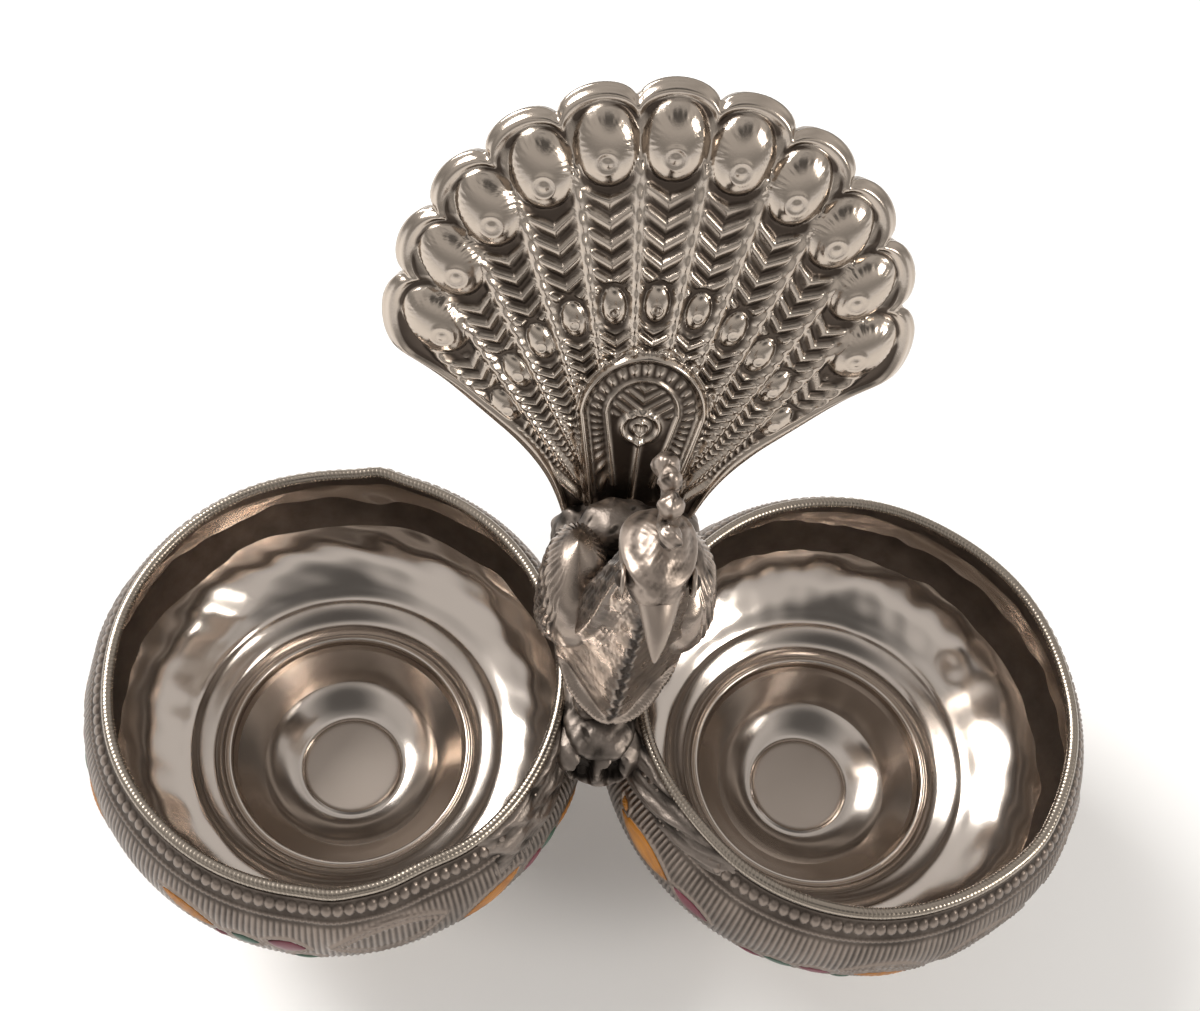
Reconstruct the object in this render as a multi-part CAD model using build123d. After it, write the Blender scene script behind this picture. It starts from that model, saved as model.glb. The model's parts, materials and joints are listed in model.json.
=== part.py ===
from build123d import *
import os
from math import asin, cos, radians, sin, sqrt

# Kumkum holder: two pressed German silver bowls soldered side by side to a cast saddle.
# A hollow cast peacock stands on the saddle, with a stamped fan tail behind it.
# Millimetres. X runs from bowl to bowl, Y from front to back, Z is up, and Z = 0 is the table.

# Bowls
SHEET = 0.6                 # thickness of the pressed sheet
MOUTH_RADIUS = 25.0         # inside radius at the rim
BELLY_RADIUS = 28.7         # inside radius at the widest place
BOWL_OFFSET = 30.0          # from the middle of the holder to the middle of each bowl
RIM_HEIGHT = 38.0           # top edge of the sheet above the table
BELLY_HEIGHT = 27.0         # height of the widest place
SHELF_RADIUS = 18.2         # where the belly turns down into the dished base
SHELF_HEIGHT = 14.5
DISH_RADIUS = 15.2          # top of the dished base
DISH_HEIGHT = 10.8
SPOT_RADIUS = 6.5           # flat round spot in the middle of the base
SPOT_HEIGHT = 3.3
WIRE_RADIUS = 0.65          # half-round wire soldered on the rim
FOOT_RADIUS = 16.6          # foot ring where it meets the table
FOOT_TOP_RADIUS = 14.6
FOOT_TOP_HEIGHT = 12.0
FOOT_SHEET = 0.8

# Saddle and solder between the bowls
SADDLE_FRONT = -7.6
SADDLE_BACK = 9.4
SADDLE_BOTTOM = 22.0
SADDLE_HALF_WIDTH = 9.0
POCKET_FRONT = -9.0
POCKET_BACK = -3.2
POCKET_TOP = 35.4
RIB_HALF_WIDTH = 0.7
SOLDER_THICKNESS = 0.45
SOLDER_SWEEP = 66.0         # angle that the smear of solder covers on each bowl
SOLDER_TURN = 18.0          # the smear lies this much nearer the front
SOLDER_LOW = 27.5
SOLDER_HIGH = 36.2

# Bird: each station is (y, z, half width, half depth, tilt in degrees) of an oval section
PEDESTAL_TOP = 43.4
PEDESTAL_HALF_WIDTH = 2.9
PEDESTAL_HALF_DEPTH = 5.4
BIRD_STATIONS = [
    (0.4, 43.4, 3.3, 4.4, 0.0),
    (-1.0, 49.0, 5.4, 8.3, 0.0),
    (-1.2, 55.5, 6.3, 8.6, 0.0),
    (-1.7, 61.0, 5.7, 7.6, 0.0),
    (-4.0, 66.5, 4.2, 5.3, 8.0),
    (-6.0, 73.0, 3.0, 3.5, 12.0),
    (-7.2, 80.0, 2.5, 2.7, 8.0),
    (-8.4, 86.0, 2.3, 2.6, 16.0),
    (-9.6, 90.0, 2.2, 2.6, 18.0),
]
HEAD_CENTRE = (0.0, -10.0, 90.4)
HEAD_RADII = (3.0, 4.2, 3.3)
EYE_BALL = 0.75
EYE_SPREAD = 2.6                    # from the middle plane to the middle of each eye
EYE_Y = -11.4
EYE_Z = 91.2
BEAK_ROOT = (-12.6, 89.8, 1.8)      # y, z, radius
BEAK_TIP = (-17.6, 87.2, 0.3)
WING_SPREAD = 5.2                   # from the middle plane to the wing's own middle
WING_STATIONS = [                   # (y, z, half width, half depth)
    (2.6, 45.2, 0.7, 1.2),
    (1.6, 49.5, 1.8, 3.6),
    (0.8, 56.0, 2.4, 5.2),
    (0.2, 62.0, 2.2, 4.8),
    (-0.4, 67.4, 0.9, 2.0),
]
CREST_HALF_THICKNESS = 0.45
CREST_ROOT = (-7.6, 92.6)           # y, z
CREST_PLUMES = 5
CREST_LENGTH = 5.6
CREST_SPREAD = 26.0                 # degrees between neighbouring plumes
CREST_BEAD = 0.85

# Fan tail: drawn flat on a leaning plane, then laid on a large ball so that it is a little domed
FAN_PIVOT = (0.0, 7.7, 66.4)
FAN_ROOT_LEAN = 15.0                # lean of the sheet at its root
FAN_MEAN_LEAN = 25.4                # lean of the drawing plane
FAN_BALL = 126.0                    # radius of the ball's front face
FAN_SHEET = 0.7
LOBES = 11
LOBE_STEP = 17.4                    # degrees from lobe to lobe
LOBE_CENTRE = 20.0                  # height of the lobes' common centre above the pivot
LOBE_TIP = 25.0
LOBE_VALLEY = 23.4
LAST_LOBE_ANGLE = 99.0
FLANK = [(19.2, 14.2), (11.4, 7.8), (6.9, -0.2)]   # edge from the last lobe down to the stem
STEM_BOTTOM = -5.0
STEM_HALF_WIDTH = 5.8
BOSS_RADIUS = 2.85
BOSS_CIRCLE = 19.8
BOSS_HEIGHT = 1.5
EYE_RADIUS = 1.25                   # second, smaller boss half way down each feather
EYE_HEIGHT = 0.7
EYE_PLACE = 0.56                    # its place along the feather
BOSS_EDGE = 0.2                     # height of the upright edge that a dome starts from
BOSS_FOOT = 0.3                     # how deep its foot is sunk in the sheet
FEATHER_ORIGIN = -4.2               # height of the point that the feathers spread from
FEATHER_STEP = 7.7                  # degrees from feather to feather, about that point
FEATHER_START = 8.5                 # a feather's line starts this far from that point at least
VEIN_WIDTH = 0.8
VEIN_HEIGHT = 0.55
DROP_HALF_WIDTH = 5.9
DROP_BOTTOM = 1.8
DROP_TOP = 17.2
DROP_BORDER = 0.9
DROP_HEIGHT = 0.8
DROP_RING = 2.1                     # small ring in the drop, and the bar that hangs from it
DROP_RING_PLACE = 8.6
DROP_BAR = 4.6
SHOE_HALF_WIDTH = 7.6
SHOE_LOW = 60.4
SHOE_HIGH = 66.2
SHOE_FRONT = 3.4
SHOE_BACK = 10.0
SHOE_ROUND = 2.4


def bowl_inside():
    """Line of the bowl's inner face, from the rim to the axis."""
    shoulder = ThreePointArc((MOUTH_RADIUS, RIM_HEIGHT), (27.6, 33.4), (BELLY_RADIUS, BELLY_HEIGHT))
    belly = TangentArc((BELLY_RADIUS, BELLY_HEIGHT), (21.6, 15.9), tangent=(0, -1))
    base = FilletPolyline(
        (21.6, 15.9), (SHELF_RADIUS, SHELF_HEIGHT), (DISH_RADIUS, DISH_HEIGHT),
        (SPOT_RADIUS, SPOT_HEIGHT), (0, SPOT_HEIGHT), radius=1.2,
    )
    return Wire([*shoulder.edges(), *belly.edges(), *base.edges()])


def bowl_outside():
    """The same line moved outwards by the thickness of the sheet."""
    shoulder = ThreePointArc(
        (MOUTH_RADIUS + SHEET, RIM_HEIGHT), (27.6 + SHEET, 33.4), (BELLY_RADIUS + SHEET, BELLY_HEIGHT)
    )
    low = (21.7, 15.9 - SHEET)
    belly = TangentArc((BELLY_RADIUS + SHEET, BELLY_HEIGHT), low, tangent=(0, -1))
    base = FilletPolyline(
        low, (SHELF_RADIUS + 0.36, SHELF_HEIGHT - SHEET), (DISH_RADIUS + 0.3, DISH_HEIGHT - SHEET),
        (SPOT_RADIUS + 0.2, SPOT_HEIGHT - SHEET), (0, SPOT_HEIGHT - SHEET), radius=1.2,
    )
    return [*shoulder.edges(), *belly.edges(), *base.edges()]


def turned(edges):
    """Solid turned about Z from a closed outline in the XZ plane."""
    return revolve(Plane.XZ * make_face(edges), axis=Axis.Z)


def bowl_blank():
    """The bowl as if it were filled to the rim: what the pieces around it are cut to."""
    return turned([
        *bowl_outside(),
        *Line((0, SPOT_HEIGHT - SHEET), (0, RIM_HEIGHT)).edges(),
        *Line((0, RIM_HEIGHT), (MOUTH_RADIUS + SHEET, RIM_HEIGHT)).edges(),
    ])


def bowl():
    """One bowl, pressed from sheet, with its hollow open at the top."""
    return turned([
        *bowl_inside().edges(),
        *bowl_outside(),
        *Line((MOUTH_RADIUS, RIM_HEIGHT), (MOUTH_RADIUS + SHEET, RIM_HEIGHT)).edges(),
        *Line((0, SPOT_HEIGHT), (0, SPOT_HEIGHT - SHEET)).edges(),
    ])


def rim_wire():
    """Half-round wire that sits flat on the rim."""
    middle = MOUTH_RADIUS + SHEET / 2
    left, right = (middle - WIRE_RADIUS, RIM_HEIGHT), (middle + WIRE_RADIUS, RIM_HEIGHT)
    arc = ThreePointArc(left, (middle, RIM_HEIGHT + WIRE_RADIUS), right)
    return turned([*arc.edges(), *Line(right, left).edges()])


def foot_ring(blank):
    """Flared strip under the dished base, with a small turned-out toe."""
    toe = FOOT_RADIUS + 0.7
    outline = Polyline(
        (FOOT_RADIUS - FOOT_SHEET, 0), (toe, 0), (toe, 0.9), (FOOT_RADIUS, 1.6),
        (FOOT_TOP_RADIUS + FOOT_SHEET, FOOT_TOP_HEIGHT), (FOOT_TOP_RADIUS, FOOT_TOP_HEIGHT), close=True,
    )
    return turned(outline.edges()) - blank


def solder(blank, side, saddle):
    """Smear of solder on a bowl's wall beside the saddle, on the left (-1) or right (1) bowl."""
    inner = ThreePointArc((MOUTH_RADIUS + SHEET, RIM_HEIGHT), (27.6 + SHEET, 33.4), (BELLY_RADIUS + SHEET, BELLY_HEIGHT))
    grown = BELLY_RADIUS + SHEET + SOLDER_THICKNESS
    outer = ThreePointArc((MOUTH_RADIUS + SHEET, RIM_HEIGHT), (27.6 + SHEET + SOLDER_THICKNESS, 33.4), (grown, BELLY_HEIGHT))
    step = Line((BELLY_RADIUS + SHEET, BELLY_HEIGHT), (grown, BELLY_HEIGHT))
    band = revolve(
        Plane.XZ * make_face([*inner.edges(), *outer.edges(), *step.edges()]),
        axis=Axis.Z, revolution_arc=SOLDER_SWEEP,
    )
    start = 180 + SOLDER_TURN - SOLDER_SWEEP / 2 if side > 0 else -SOLDER_TURN - SOLDER_SWEEP / 2
    height = SOLDER_HIGH - SOLDER_LOW
    slab = Pos(0, 0, SOLDER_LOW + height / 2) * Box(80, 80, height)
    smear = Pos(side * BOWL_OFFSET, 0, 0) * ((Rot(0, 0, start) * band) & slab)
    other = Pos(-side * BOWL_OFFSET, 0, 0) * blank
    half = Pos(side * 20, 0, 30) * Box(40, 80, 60)
    return (smear & half) - saddle - other


def saddle(left, right):
    """Cast link between the bowls, cut to their walls, with a rib between two hollows in front."""
    depth = SADDLE_BACK - SADDLE_FRONT
    height = RIM_HEIGHT - SADDLE_BOTTOM
    block = Pos(0, SADDLE_FRONT + depth / 2, SADDLE_BOTTOM + height / 2) * Box(
        2 * SADDLE_HALF_WIDTH, depth, height
    )
    width = 6.0
    for side in (-1, 1):
        pocket_depth = POCKET_BACK - POCKET_FRONT
        pocket_height = POCKET_TOP - SADDLE_BOTTOM + 1
        block -= Pos(
            side * (RIB_HALF_WIDTH + width / 2), POCKET_FRONT + pocket_depth / 2,
            SADDLE_BOTTOM - 1 + pocket_height / 2,
        ) * Box(width, pocket_depth, pocket_height)
    return block - left - right


def pedestal():
    """Short waisted stem from the saddle up to the bird's belly."""
    y = BIRD_STATIONS[0][0]
    levels = [
        (RIM_HEIGHT, PEDESTAL_HALF_WIDTH, PEDESTAL_HALF_DEPTH),
        ((RIM_HEIGHT + PEDESTAL_TOP) / 2, PEDESTAL_HALF_WIDTH * 0.8, PEDESTAL_HALF_DEPTH * 0.66),
        (PEDESTAL_TOP, BIRD_STATIONS[0][2], BIRD_STATIONS[0][3]),
    ]
    return loft([Plane((0, y, z)) * Ellipse(a, b) for z, a, b in levels])


def ball(centre, radii):
    """Ball stretched to three radii."""
    return Pos(*centre) * scale(Sphere(1), by=radii)


def bird():
    """Body, neck, head and beak as one form, before it is parted into its two halves."""
    ovals = []
    for y, z, half_width, half_depth, tilt in BIRD_STATIONS:
        plane = Plane((0, y, z), x_dir=(1, 0, 0), z_dir=(0, -sin(radians(tilt)), cos(radians(tilt))))
        ovals.append(plane * Ellipse(half_width, half_depth))
    trunk = loft(ovals)
    head = ball(HEAD_CENTRE, HEAD_RADII)
    for side in (-1, 1):
        head += Pos(side * EYE_SPREAD, EYE_Y, EYE_Z) * Sphere(EYE_BALL)
    root, tip = BEAK_ROOT, BEAK_TIP
    run = (0, tip[0] - root[0], tip[1] - root[1])
    beak = loft([
        Plane((0, root[0], root[1]), x_dir=(1, 0, 0), z_dir=run) * Circle(root[2]),
        Plane((0, tip[0], tip[1]), x_dir=(1, 0, 0), z_dir=run) * Circle(tip[2]),
    ])
    return trunk + head + beak


def half_space(side):
    """Everything on one side of the holder's middle plane."""
    return Pos(side * 40, 0, 60) * Box(80, 120, 160)


def wing(side, trunk):
    """Folded wing, a long leaf laid on the body's flank."""
    leaf = loft([Plane((side * WING_SPREAD, y, z)) * Ellipse(a, b) for y, z, a, b in WING_STATIONS])
    return leaf - trunk


def crest(trunk):
    """Upright fan of bead-tipped plumes on the head."""
    y, z = CREST_ROOT
    plate = None
    for i in range(CREST_PLUMES):
        angle = (i - (CREST_PLUMES - 1) / 2) * CREST_SPREAD + 18
        plume = Rot(-angle, 0, 0) * (
            Pos(0, 0, CREST_LENGTH / 2 - 1) * Box(2 * CREST_HALF_THICKNESS, 1.1, CREST_LENGTH)
            + Pos(0, 0, CREST_LENGTH - 1) * Sphere(CREST_BEAD)
        )
        plate = plume if plate is None else plate + plume
    return Pos(0, y, z) * plate - trunk


def fan_plane():
    """Plane that the tail is drawn on: x across, y up the fan, z towards the front."""
    lean = radians(FAN_MEAN_LEAN)
    return Plane(FAN_PIVOT, x_dir=(1, 0, 0), z_dir=(0, -cos(lean), sin(lean)))


def fan_ball(radius):
    """Ball whose front face the tail lies on."""
    lean = radians(FAN_ROOT_LEAN)
    x, y, z = FAN_PIVOT
    return Pos(x, y + FAN_BALL * cos(lean), z - FAN_BALL * sin(lean)) * Sphere(radius)


def on_lobes(radius, angle):
    """Point of the tail at a radius and an angle from straight up, about the lobes' centre."""
    return radius * sin(radians(angle)), LOBE_CENTRE + radius * cos(radians(angle))


def fan_outline():
    """Scalloped edge of the tail, with its waisted stem."""
    edges = []
    valley = [(i - LOBES / 2) * LOBE_STEP for i in range(LOBES + 1)]
    valley[0], valley[-1] = -LAST_LOBE_ANGLE, LAST_LOBE_ANGLE
    for i in range(LOBES):
        tip = (i - (LOBES - 1) / 2) * LOBE_STEP
        edges += ThreePointArc(
            on_lobes(LOBE_VALLEY, valley[i]), on_lobes(LOBE_TIP, tip), on_lobes(LOBE_VALLEY, valley[i + 1])
        ).edges()
    for side in (-1, 1):
        corner = on_lobes(LOBE_VALLEY, side * LAST_LOBE_ANGLE)
        flank = [(side * x, y) for x, y in FLANK]
        edges += Spline(corner, *flank).edges()
        edges += Line(flank[-1], (side * STEM_HALF_WIDTH, STEM_BOTTOM)).edges()
    edges += Line((-STEM_HALF_WIDTH, STEM_BOTTOM), (STEM_HALF_WIDTH, STEM_BOTTOM)).edges()
    return make_face(edges)


def on_fan(sketch, low, high):
    """A flat drawing laid on the tail, from one depth to another, measured out from its front face."""
    block = extrude(fan_plane() * sketch, amount=14, both=True)
    return (block & fan_ball(FAN_BALL + high)) - fan_ball(FAN_BALL + low)


def along_feather(number, distance):
    """Point at a distance up a feather, whose number is 0 in the middle."""
    angle = radians(number * FEATHER_STEP)
    return distance * sin(angle), FEATHER_ORIGIN + distance * cos(angle)


def reach(number, radius, centre):
    """How far up a feather it leaves a circle, or None where it misses the circle."""
    angle = radians(number * FEATHER_STEP)
    rise = centre - FEATHER_ORIGIN
    inside = radius**2 - (rise * sin(angle))**2
    return rise * cos(angle) + sqrt(inside) if inside > 0 else None


def feather_start(number):
    """Where a feather comes out from under the drop, or from the stem beside it."""
    middle = (DROP_TOP + DROP_BOTTOM) / 2
    return reach(number, (DROP_TOP - DROP_BOTTOM) / 2 - 0.6, middle) or FEATHER_START


def veins():
    """Raised lines on both sides of each feather."""
    lines = []
    for i in range(LOBES + 1):
        number = i - LOBES / 2
        start = max(feather_start(number), FEATHER_START)
        end = reach(number, BOSS_CIRCLE + (1.5 if abs(number) < LOBES / 2 else -1.0), LOBE_CENTRE)
        x, y = along_feather(number, (start + end) / 2)
        lines.append(Pos(x, y) * Rot(0, 0, -number * FEATHER_STEP) * Rectangle(VEIN_WIDTH, end - start))
    return Sketch() + lines


def drop():
    """Border of the drop-shaped eye in the middle of the tail, with its small ring and bar."""
    middle = (DROP_TOP + DROP_BOTTOM) / 2
    height = (DROP_TOP - DROP_BOTTOM) / 2
    outer = Pos(0, middle) * Ellipse(DROP_HALF_WIDTH, height)
    inner = Pos(0, middle) * Ellipse(DROP_HALF_WIDTH - DROP_BORDER, height - DROP_BORDER)
    ring = Pos(0, DROP_RING_PLACE) * (Circle(DROP_RING) - Circle(DROP_RING - 0.5))
    bar = Pos(0, DROP_RING_PLACE - DROP_RING - DROP_BAR / 2 + 0.2) * Rectangle(0.6, DROP_BAR)
    return (outer - inner) + ring + bar


def dome(radius, height):
    """One round boss with its foot sunk in the sheet, standing on Z = 0."""
    edge = (radius, BOSS_EDGE)
    centre = (height**2 - radius**2 - BOSS_EDGE**2) / (2 * (height - BOSS_EDGE))
    round_radius = height - centre
    half_turn = asin(radius / round_radius) / 2
    shoulder = (round_radius * sin(half_turn), centre + round_radius * cos(half_turn))
    arc = ThreePointArc(edge, shoulder, (0, height))
    foot = Polyline((0, height), (0, -BOSS_FOOT), (radius, -BOSS_FOOT), edge)
    return turned([*arc.edges(), *foot.edges()])


def domes(radius, height, places):
    """Bosses of one size, each standing square on the tail's face."""
    lean = radians(FAN_ROOT_LEAN)
    centre = Vector(0, FAN_PIVOT[1] + FAN_BALL * cos(lean), FAN_PIVOT[2] - FAN_BALL * sin(lean))
    form = dome(radius, height)
    row = []
    for x, y in places:
        out = (fan_plane().from_local_coords(Vector(x, y, 0)) - centre).normalized()
        row.append(Plane(centre + out * FAN_BALL, z_dir=out) * form)
    return row


def fan_front():
    """Stamped front of the tail: two bosses on each feather, lines between feathers, and the drop."""
    bosses, eyes = [], []
    for i in range(LOBES):
        number = i - (LOBES - 1) / 2
        start, end = feather_start(number), reach(number, BOSS_CIRCLE, LOBE_CENTRE)
        bosses.append(on_lobes(BOSS_CIRCLE, number * LOBE_STEP))
        eyes.append(along_feather(number, start + EYE_PLACE * (end - start)))
    front = on_fan(fan_outline(), -FAN_SHEET, 0)
    front += domes(BOSS_RADIUS, BOSS_HEIGHT, bosses)
    front += domes(EYE_RADIUS, EYE_HEIGHT, eyes)
    front += on_fan(veins(), -0.1, VEIN_HEIGHT)
    return front + on_fan(drop(), -0.1, DROP_HEIGHT)


def fan_back():
    """Plain sheet behind the front of the tail, soldered to it along the edge."""
    return on_fan(fan_outline(), -2 * FAN_SHEET, -FAN_SHEET)


def shoe(trunk, front, back):
    """Cast shoe on the bird's rump that holds the stem of the tail."""
    depth, height = SHOE_BACK - SHOE_FRONT, SHOE_HIGH - SHOE_LOW
    block = Pos(0, SHOE_FRONT + depth / 2, SHOE_LOW + height / 2) * Box(2 * SHOE_HALF_WIDTH, depth, height)
    block = fillet(block.edges().filter_by(Axis.Z), SHOE_ROUND)
    block = chamfer(block.faces().sort_by(Axis.Z)[-1].edges(), 1.0)
    return block - trunk - front - back


def build():
    """All the pieces of the holder by name."""
    blank = bowl_blank()
    left_blank = Pos(-BOWL_OFFSET, 0, 0) * blank
    right_blank = Pos(BOWL_OFFSET, 0, 0) * blank
    one_bowl, one_wire, one_foot = bowl(), rim_wire(), foot_ring(blank)
    link = saddle(left_blank, right_blank)
    trunk = bird()
    front, back = fan_front(), fan_back()
    socket = shoe(trunk, front, back)
    pieces = {
        "bridge_saddle": link,
        "bird_pedestal": pedestal(),
        "head_crest": crest(trunk),
        "tail_front": front,
        "tail_back": back,
        "tail_shoe": socket,
    }
    for name, side in (("left", -1), ("right", 1)):
        place = Pos(side * BOWL_OFFSET, 0, 0)
        pieces[f"{name}_bowl"] = place * one_bowl
        pieces[f"{name}_rim_wire"] = place * one_wire
        pieces[f"{name}_foot_ring"] = place * one_foot
        pieces[f"{name}_solder"] = solder(blank, side, link)
        pieces[f"{name}_body_half"] = trunk & half_space(side)
        pieces[f"{name}_wing"] = wing(side, trunk) - socket
    return pieces


os.makedirs("parts", exist_ok=True)
for name, piece in build().items():
    export_step(piece, f"parts/{name}.step")
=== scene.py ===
import json
import logging
import math
from dataclasses import dataclass, replace
from enum import Enum
from typing import Callable, Sequence

import bpy
import numpy as np
from mathutils import Matrix, Vector

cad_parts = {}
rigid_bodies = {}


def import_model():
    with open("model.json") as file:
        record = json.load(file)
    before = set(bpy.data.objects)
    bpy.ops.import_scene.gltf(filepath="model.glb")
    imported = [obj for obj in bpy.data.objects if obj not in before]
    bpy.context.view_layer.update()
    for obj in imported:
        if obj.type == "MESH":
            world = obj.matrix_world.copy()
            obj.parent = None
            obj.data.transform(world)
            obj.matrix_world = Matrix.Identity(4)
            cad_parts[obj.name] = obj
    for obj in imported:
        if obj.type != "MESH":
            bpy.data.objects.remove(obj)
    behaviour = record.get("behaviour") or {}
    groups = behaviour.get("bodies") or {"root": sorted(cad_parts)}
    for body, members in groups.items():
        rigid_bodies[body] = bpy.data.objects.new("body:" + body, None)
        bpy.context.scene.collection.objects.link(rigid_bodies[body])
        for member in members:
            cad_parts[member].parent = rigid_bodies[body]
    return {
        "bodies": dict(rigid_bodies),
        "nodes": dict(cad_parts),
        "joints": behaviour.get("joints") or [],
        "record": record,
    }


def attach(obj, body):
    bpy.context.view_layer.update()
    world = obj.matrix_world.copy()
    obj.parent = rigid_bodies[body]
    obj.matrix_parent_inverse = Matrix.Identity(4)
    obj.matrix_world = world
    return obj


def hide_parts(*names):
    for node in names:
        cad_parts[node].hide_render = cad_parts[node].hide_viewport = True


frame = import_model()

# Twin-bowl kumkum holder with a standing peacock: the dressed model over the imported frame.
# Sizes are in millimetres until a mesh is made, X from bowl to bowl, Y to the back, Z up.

Array = np.ndarray
Colour = tuple[float, float, float]
Place = tuple[float, float, float]
Station = tuple[float, float, float, float]
MM = 0.001
SAME_PLACE = 0.0002
PLAIN_RELIEF = 0.6
FULL_TURN = 2.0 * math.pi
ROOT = "root"
LOG = logging.getLogger("kumkum_holder")


class Side(Enum):
    """Which half of the holder a piece belongs to."""

    LEFT = -1
    RIGHT = 1

    @property
    def word(self) -> str:
        """The side's name as it starts a piece's name."""
        return self.name.lower()


# Surfaces

def around_once(count: int) -> Array:
    """Even angles of one full turn in radians, without the last."""
    return np.linspace(0.0, FULL_TURN, count, endpoint=False)


def wrapped(angle: Array) -> Array:
    """Angle in radians brought between minus and plus half a turn."""
    return np.angle(np.exp(1j * angle))


def ramp(value: Array, start: float, end: float) -> Array:
    """Smooth step: 0 before start, 1 after end, with a cubic between them."""
    t = np.clip((value - start) / (end - start), 0.0, 1.0)
    return t * t * (3.0 - 2.0 * t)


def bump(value: Array, width: float) -> Array:
    """Bell curve of height 1 at zero that has fallen to a third at the given width."""
    return np.exp(-((value / width) ** 2))


def half_round(away: Array) -> Array:
    """Height of a ball of radius 1 at a distance from its upright axis, and 0 beyond it."""
    return np.sqrt(np.clip(1.0 - away**2, 0.0, 1.0))


def run_length(line: Array) -> Array:
    """Distance along a chain of points from its first point to each of them."""
    return np.concatenate([[0.0], np.cumsum(np.linalg.norm(np.diff(line, axis=0), axis=1))])


def smooth_path(keys: Sequence[tuple[float, ...]], rounds: int = 3, spacing: float = 0.3) -> Array:
    """Round the corners of a chain of points and step evenly along it.

    Each round cuts every corner at a quarter and three quarters of its two runs, which tends to a
    quadratic B-spline. The result is resampled by arc length.

    Args:
        keys: corner points, each of two to four coordinates.
        rounds: how often the corners are cut.
        spacing: distance between the points that come back.

    Returns:
        Array of points, one row each, with the two ends kept.
    """
    line = np.asarray(keys, float)
    for _ in range(rounds):
        near = 0.75 * line[:-1] + 0.25 * line[1:]
        far = 0.25 * line[:-1] + 0.75 * line[1:]
        cut = np.stack([near, far], axis=1).reshape(-1, line.shape[1])
        line = np.vstack([line[:1], cut, line[-1:]])
    length = run_length(line)
    steps = np.linspace(0.0, length[-1], max(4, int(length[-1] / spacing)))
    return np.stack([np.interp(steps, length, column) for column in line.T], axis=1)


def lumps(points: Array, size: float, seed: int, octaves: int = 3) -> Array:
    """Soft irregular field from summed sines in seeded directions.

    The value is the sum over octaves of products of three sines, whose wavelength halves and whose
    weight falls by 0.55 each time.

    Args:
        points: positions, last axis of three.
        size: longest wavelength.
        seed: seed of the directions and phases.
        octaves: number of halvings.

    Returns:
        Field of roughly -1 to 1 with the shape of the points less their last axis.
    """
    rng = np.random.default_rng(seed)
    total = np.zeros(points.shape[:-1])
    weight = 1.0
    for level in range(octaves):
        waves = np.ones(points.shape[:-1])
        for _ in range(3):
            direction = rng.normal(size=3)
            direction /= np.linalg.norm(direction)
            phase = rng.uniform(0.0, FULL_TURN)
            waves = waves * np.sin(points @ direction * FULL_TURN * 2**level / size + phase)
        total += weight * waves * 1.8
        weight *= 0.55
    return total


def stacked(*parts: Array | float) -> Array:
    """Grid of points from the grids of their coordinates, each stretched to the full grid."""
    return np.stack(np.broadcast_arrays(*parts), axis=2)


def turned(middle: float, radius: Array, angle: Array, height: Array) -> Array:
    """Points at a radius, angle and height about an upright axis at x = middle and y = 0."""
    return stacked(middle + radius * np.cos(angle), radius * np.sin(angle), height)


def ellipsoid(centre: Sequence[float], radii: Sequence[float], rows: int, columns: int) -> Array:
    """Grid over an ellipsoid by latitude and longitude.

    Args:
        centre: its middle.
        radii: half its size along each axis.
        rows: number of circles from the bottom pole to the top pole.
        columns: number of points on each circle.

    Returns:
        Grid of points.
    """
    latitude = np.linspace(-math.pi / 2, math.pi / 2, rows)[:, None]
    longitude = around_once(columns)[None, :]
    level = np.cos(latitude)
    ball = stacked(level * np.cos(longitude), level * np.sin(longitude), np.sin(latitude))
    return ball * np.asarray(radii) + np.asarray(centre, float)


def tube(path: Array, radius: Array, columns: int, up: Sequence[float]) -> Array:
    """Grid over a round tube: at each point of its path a circle square to the path.

    Args:
        path: points along the tube's middle.
        radius: radius at each of them.
        columns: number of points on each circle.
        up: direction that is never along the path.

    Returns:
        Grid of points.
    """
    run = np.gradient(path, axis=0)
    run /= np.linalg.norm(run, axis=1, keepdims=True)
    side = np.cross(run, np.asarray(up, float))
    side /= np.maximum(np.linalg.norm(side, axis=1, keepdims=True), 1e-9)
    top = np.cross(side, run)
    turn = around_once(columns)
    ring = side[:, None] * np.cos(turn)[None, :, None] + top[:, None] * np.sin(turn)[None, :, None]
    return path[:, None] + ring * np.asarray(radius)[:, None, None]


def normals_of(points: Array) -> Array:
    """Unit normals of a grid whose last column meets its first: (row step) x (column step).

    Args:
        points: grid of rows, columns and three coordinates.

    Returns:
        Normals with the shape of the grid.
    """
    down = np.gradient(points, axis=0)
    across = np.roll(points, -1, axis=1) - np.roll(points, 1, axis=1)
    out = np.cross(down, across)
    return out / np.maximum(np.linalg.norm(out, axis=2, keepdims=True), 1e-9)


def grid_faces(rows: int, columns: int, along: bool) -> Array:
    """Corner numbers of the quads of a grid whose last column meets its first, one row per quad.

    Args:
        rows: number of rows.
        columns: number of columns.
        along: join the last row to the first.

    Returns:
        Array with four corner numbers in each row.
    """
    number = np.arange(rows * columns).reshape(rows, columns)
    number = np.hstack([number, number[:, :1]])
    if along:
        number = np.vstack([number, number[:1]])
    corners = [number[:-1, :-1], number[1:, :-1], number[1:, 1:], number[:-1, 1:]]
    return np.stack([c.ravel() for c in corners], axis=1)


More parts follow.
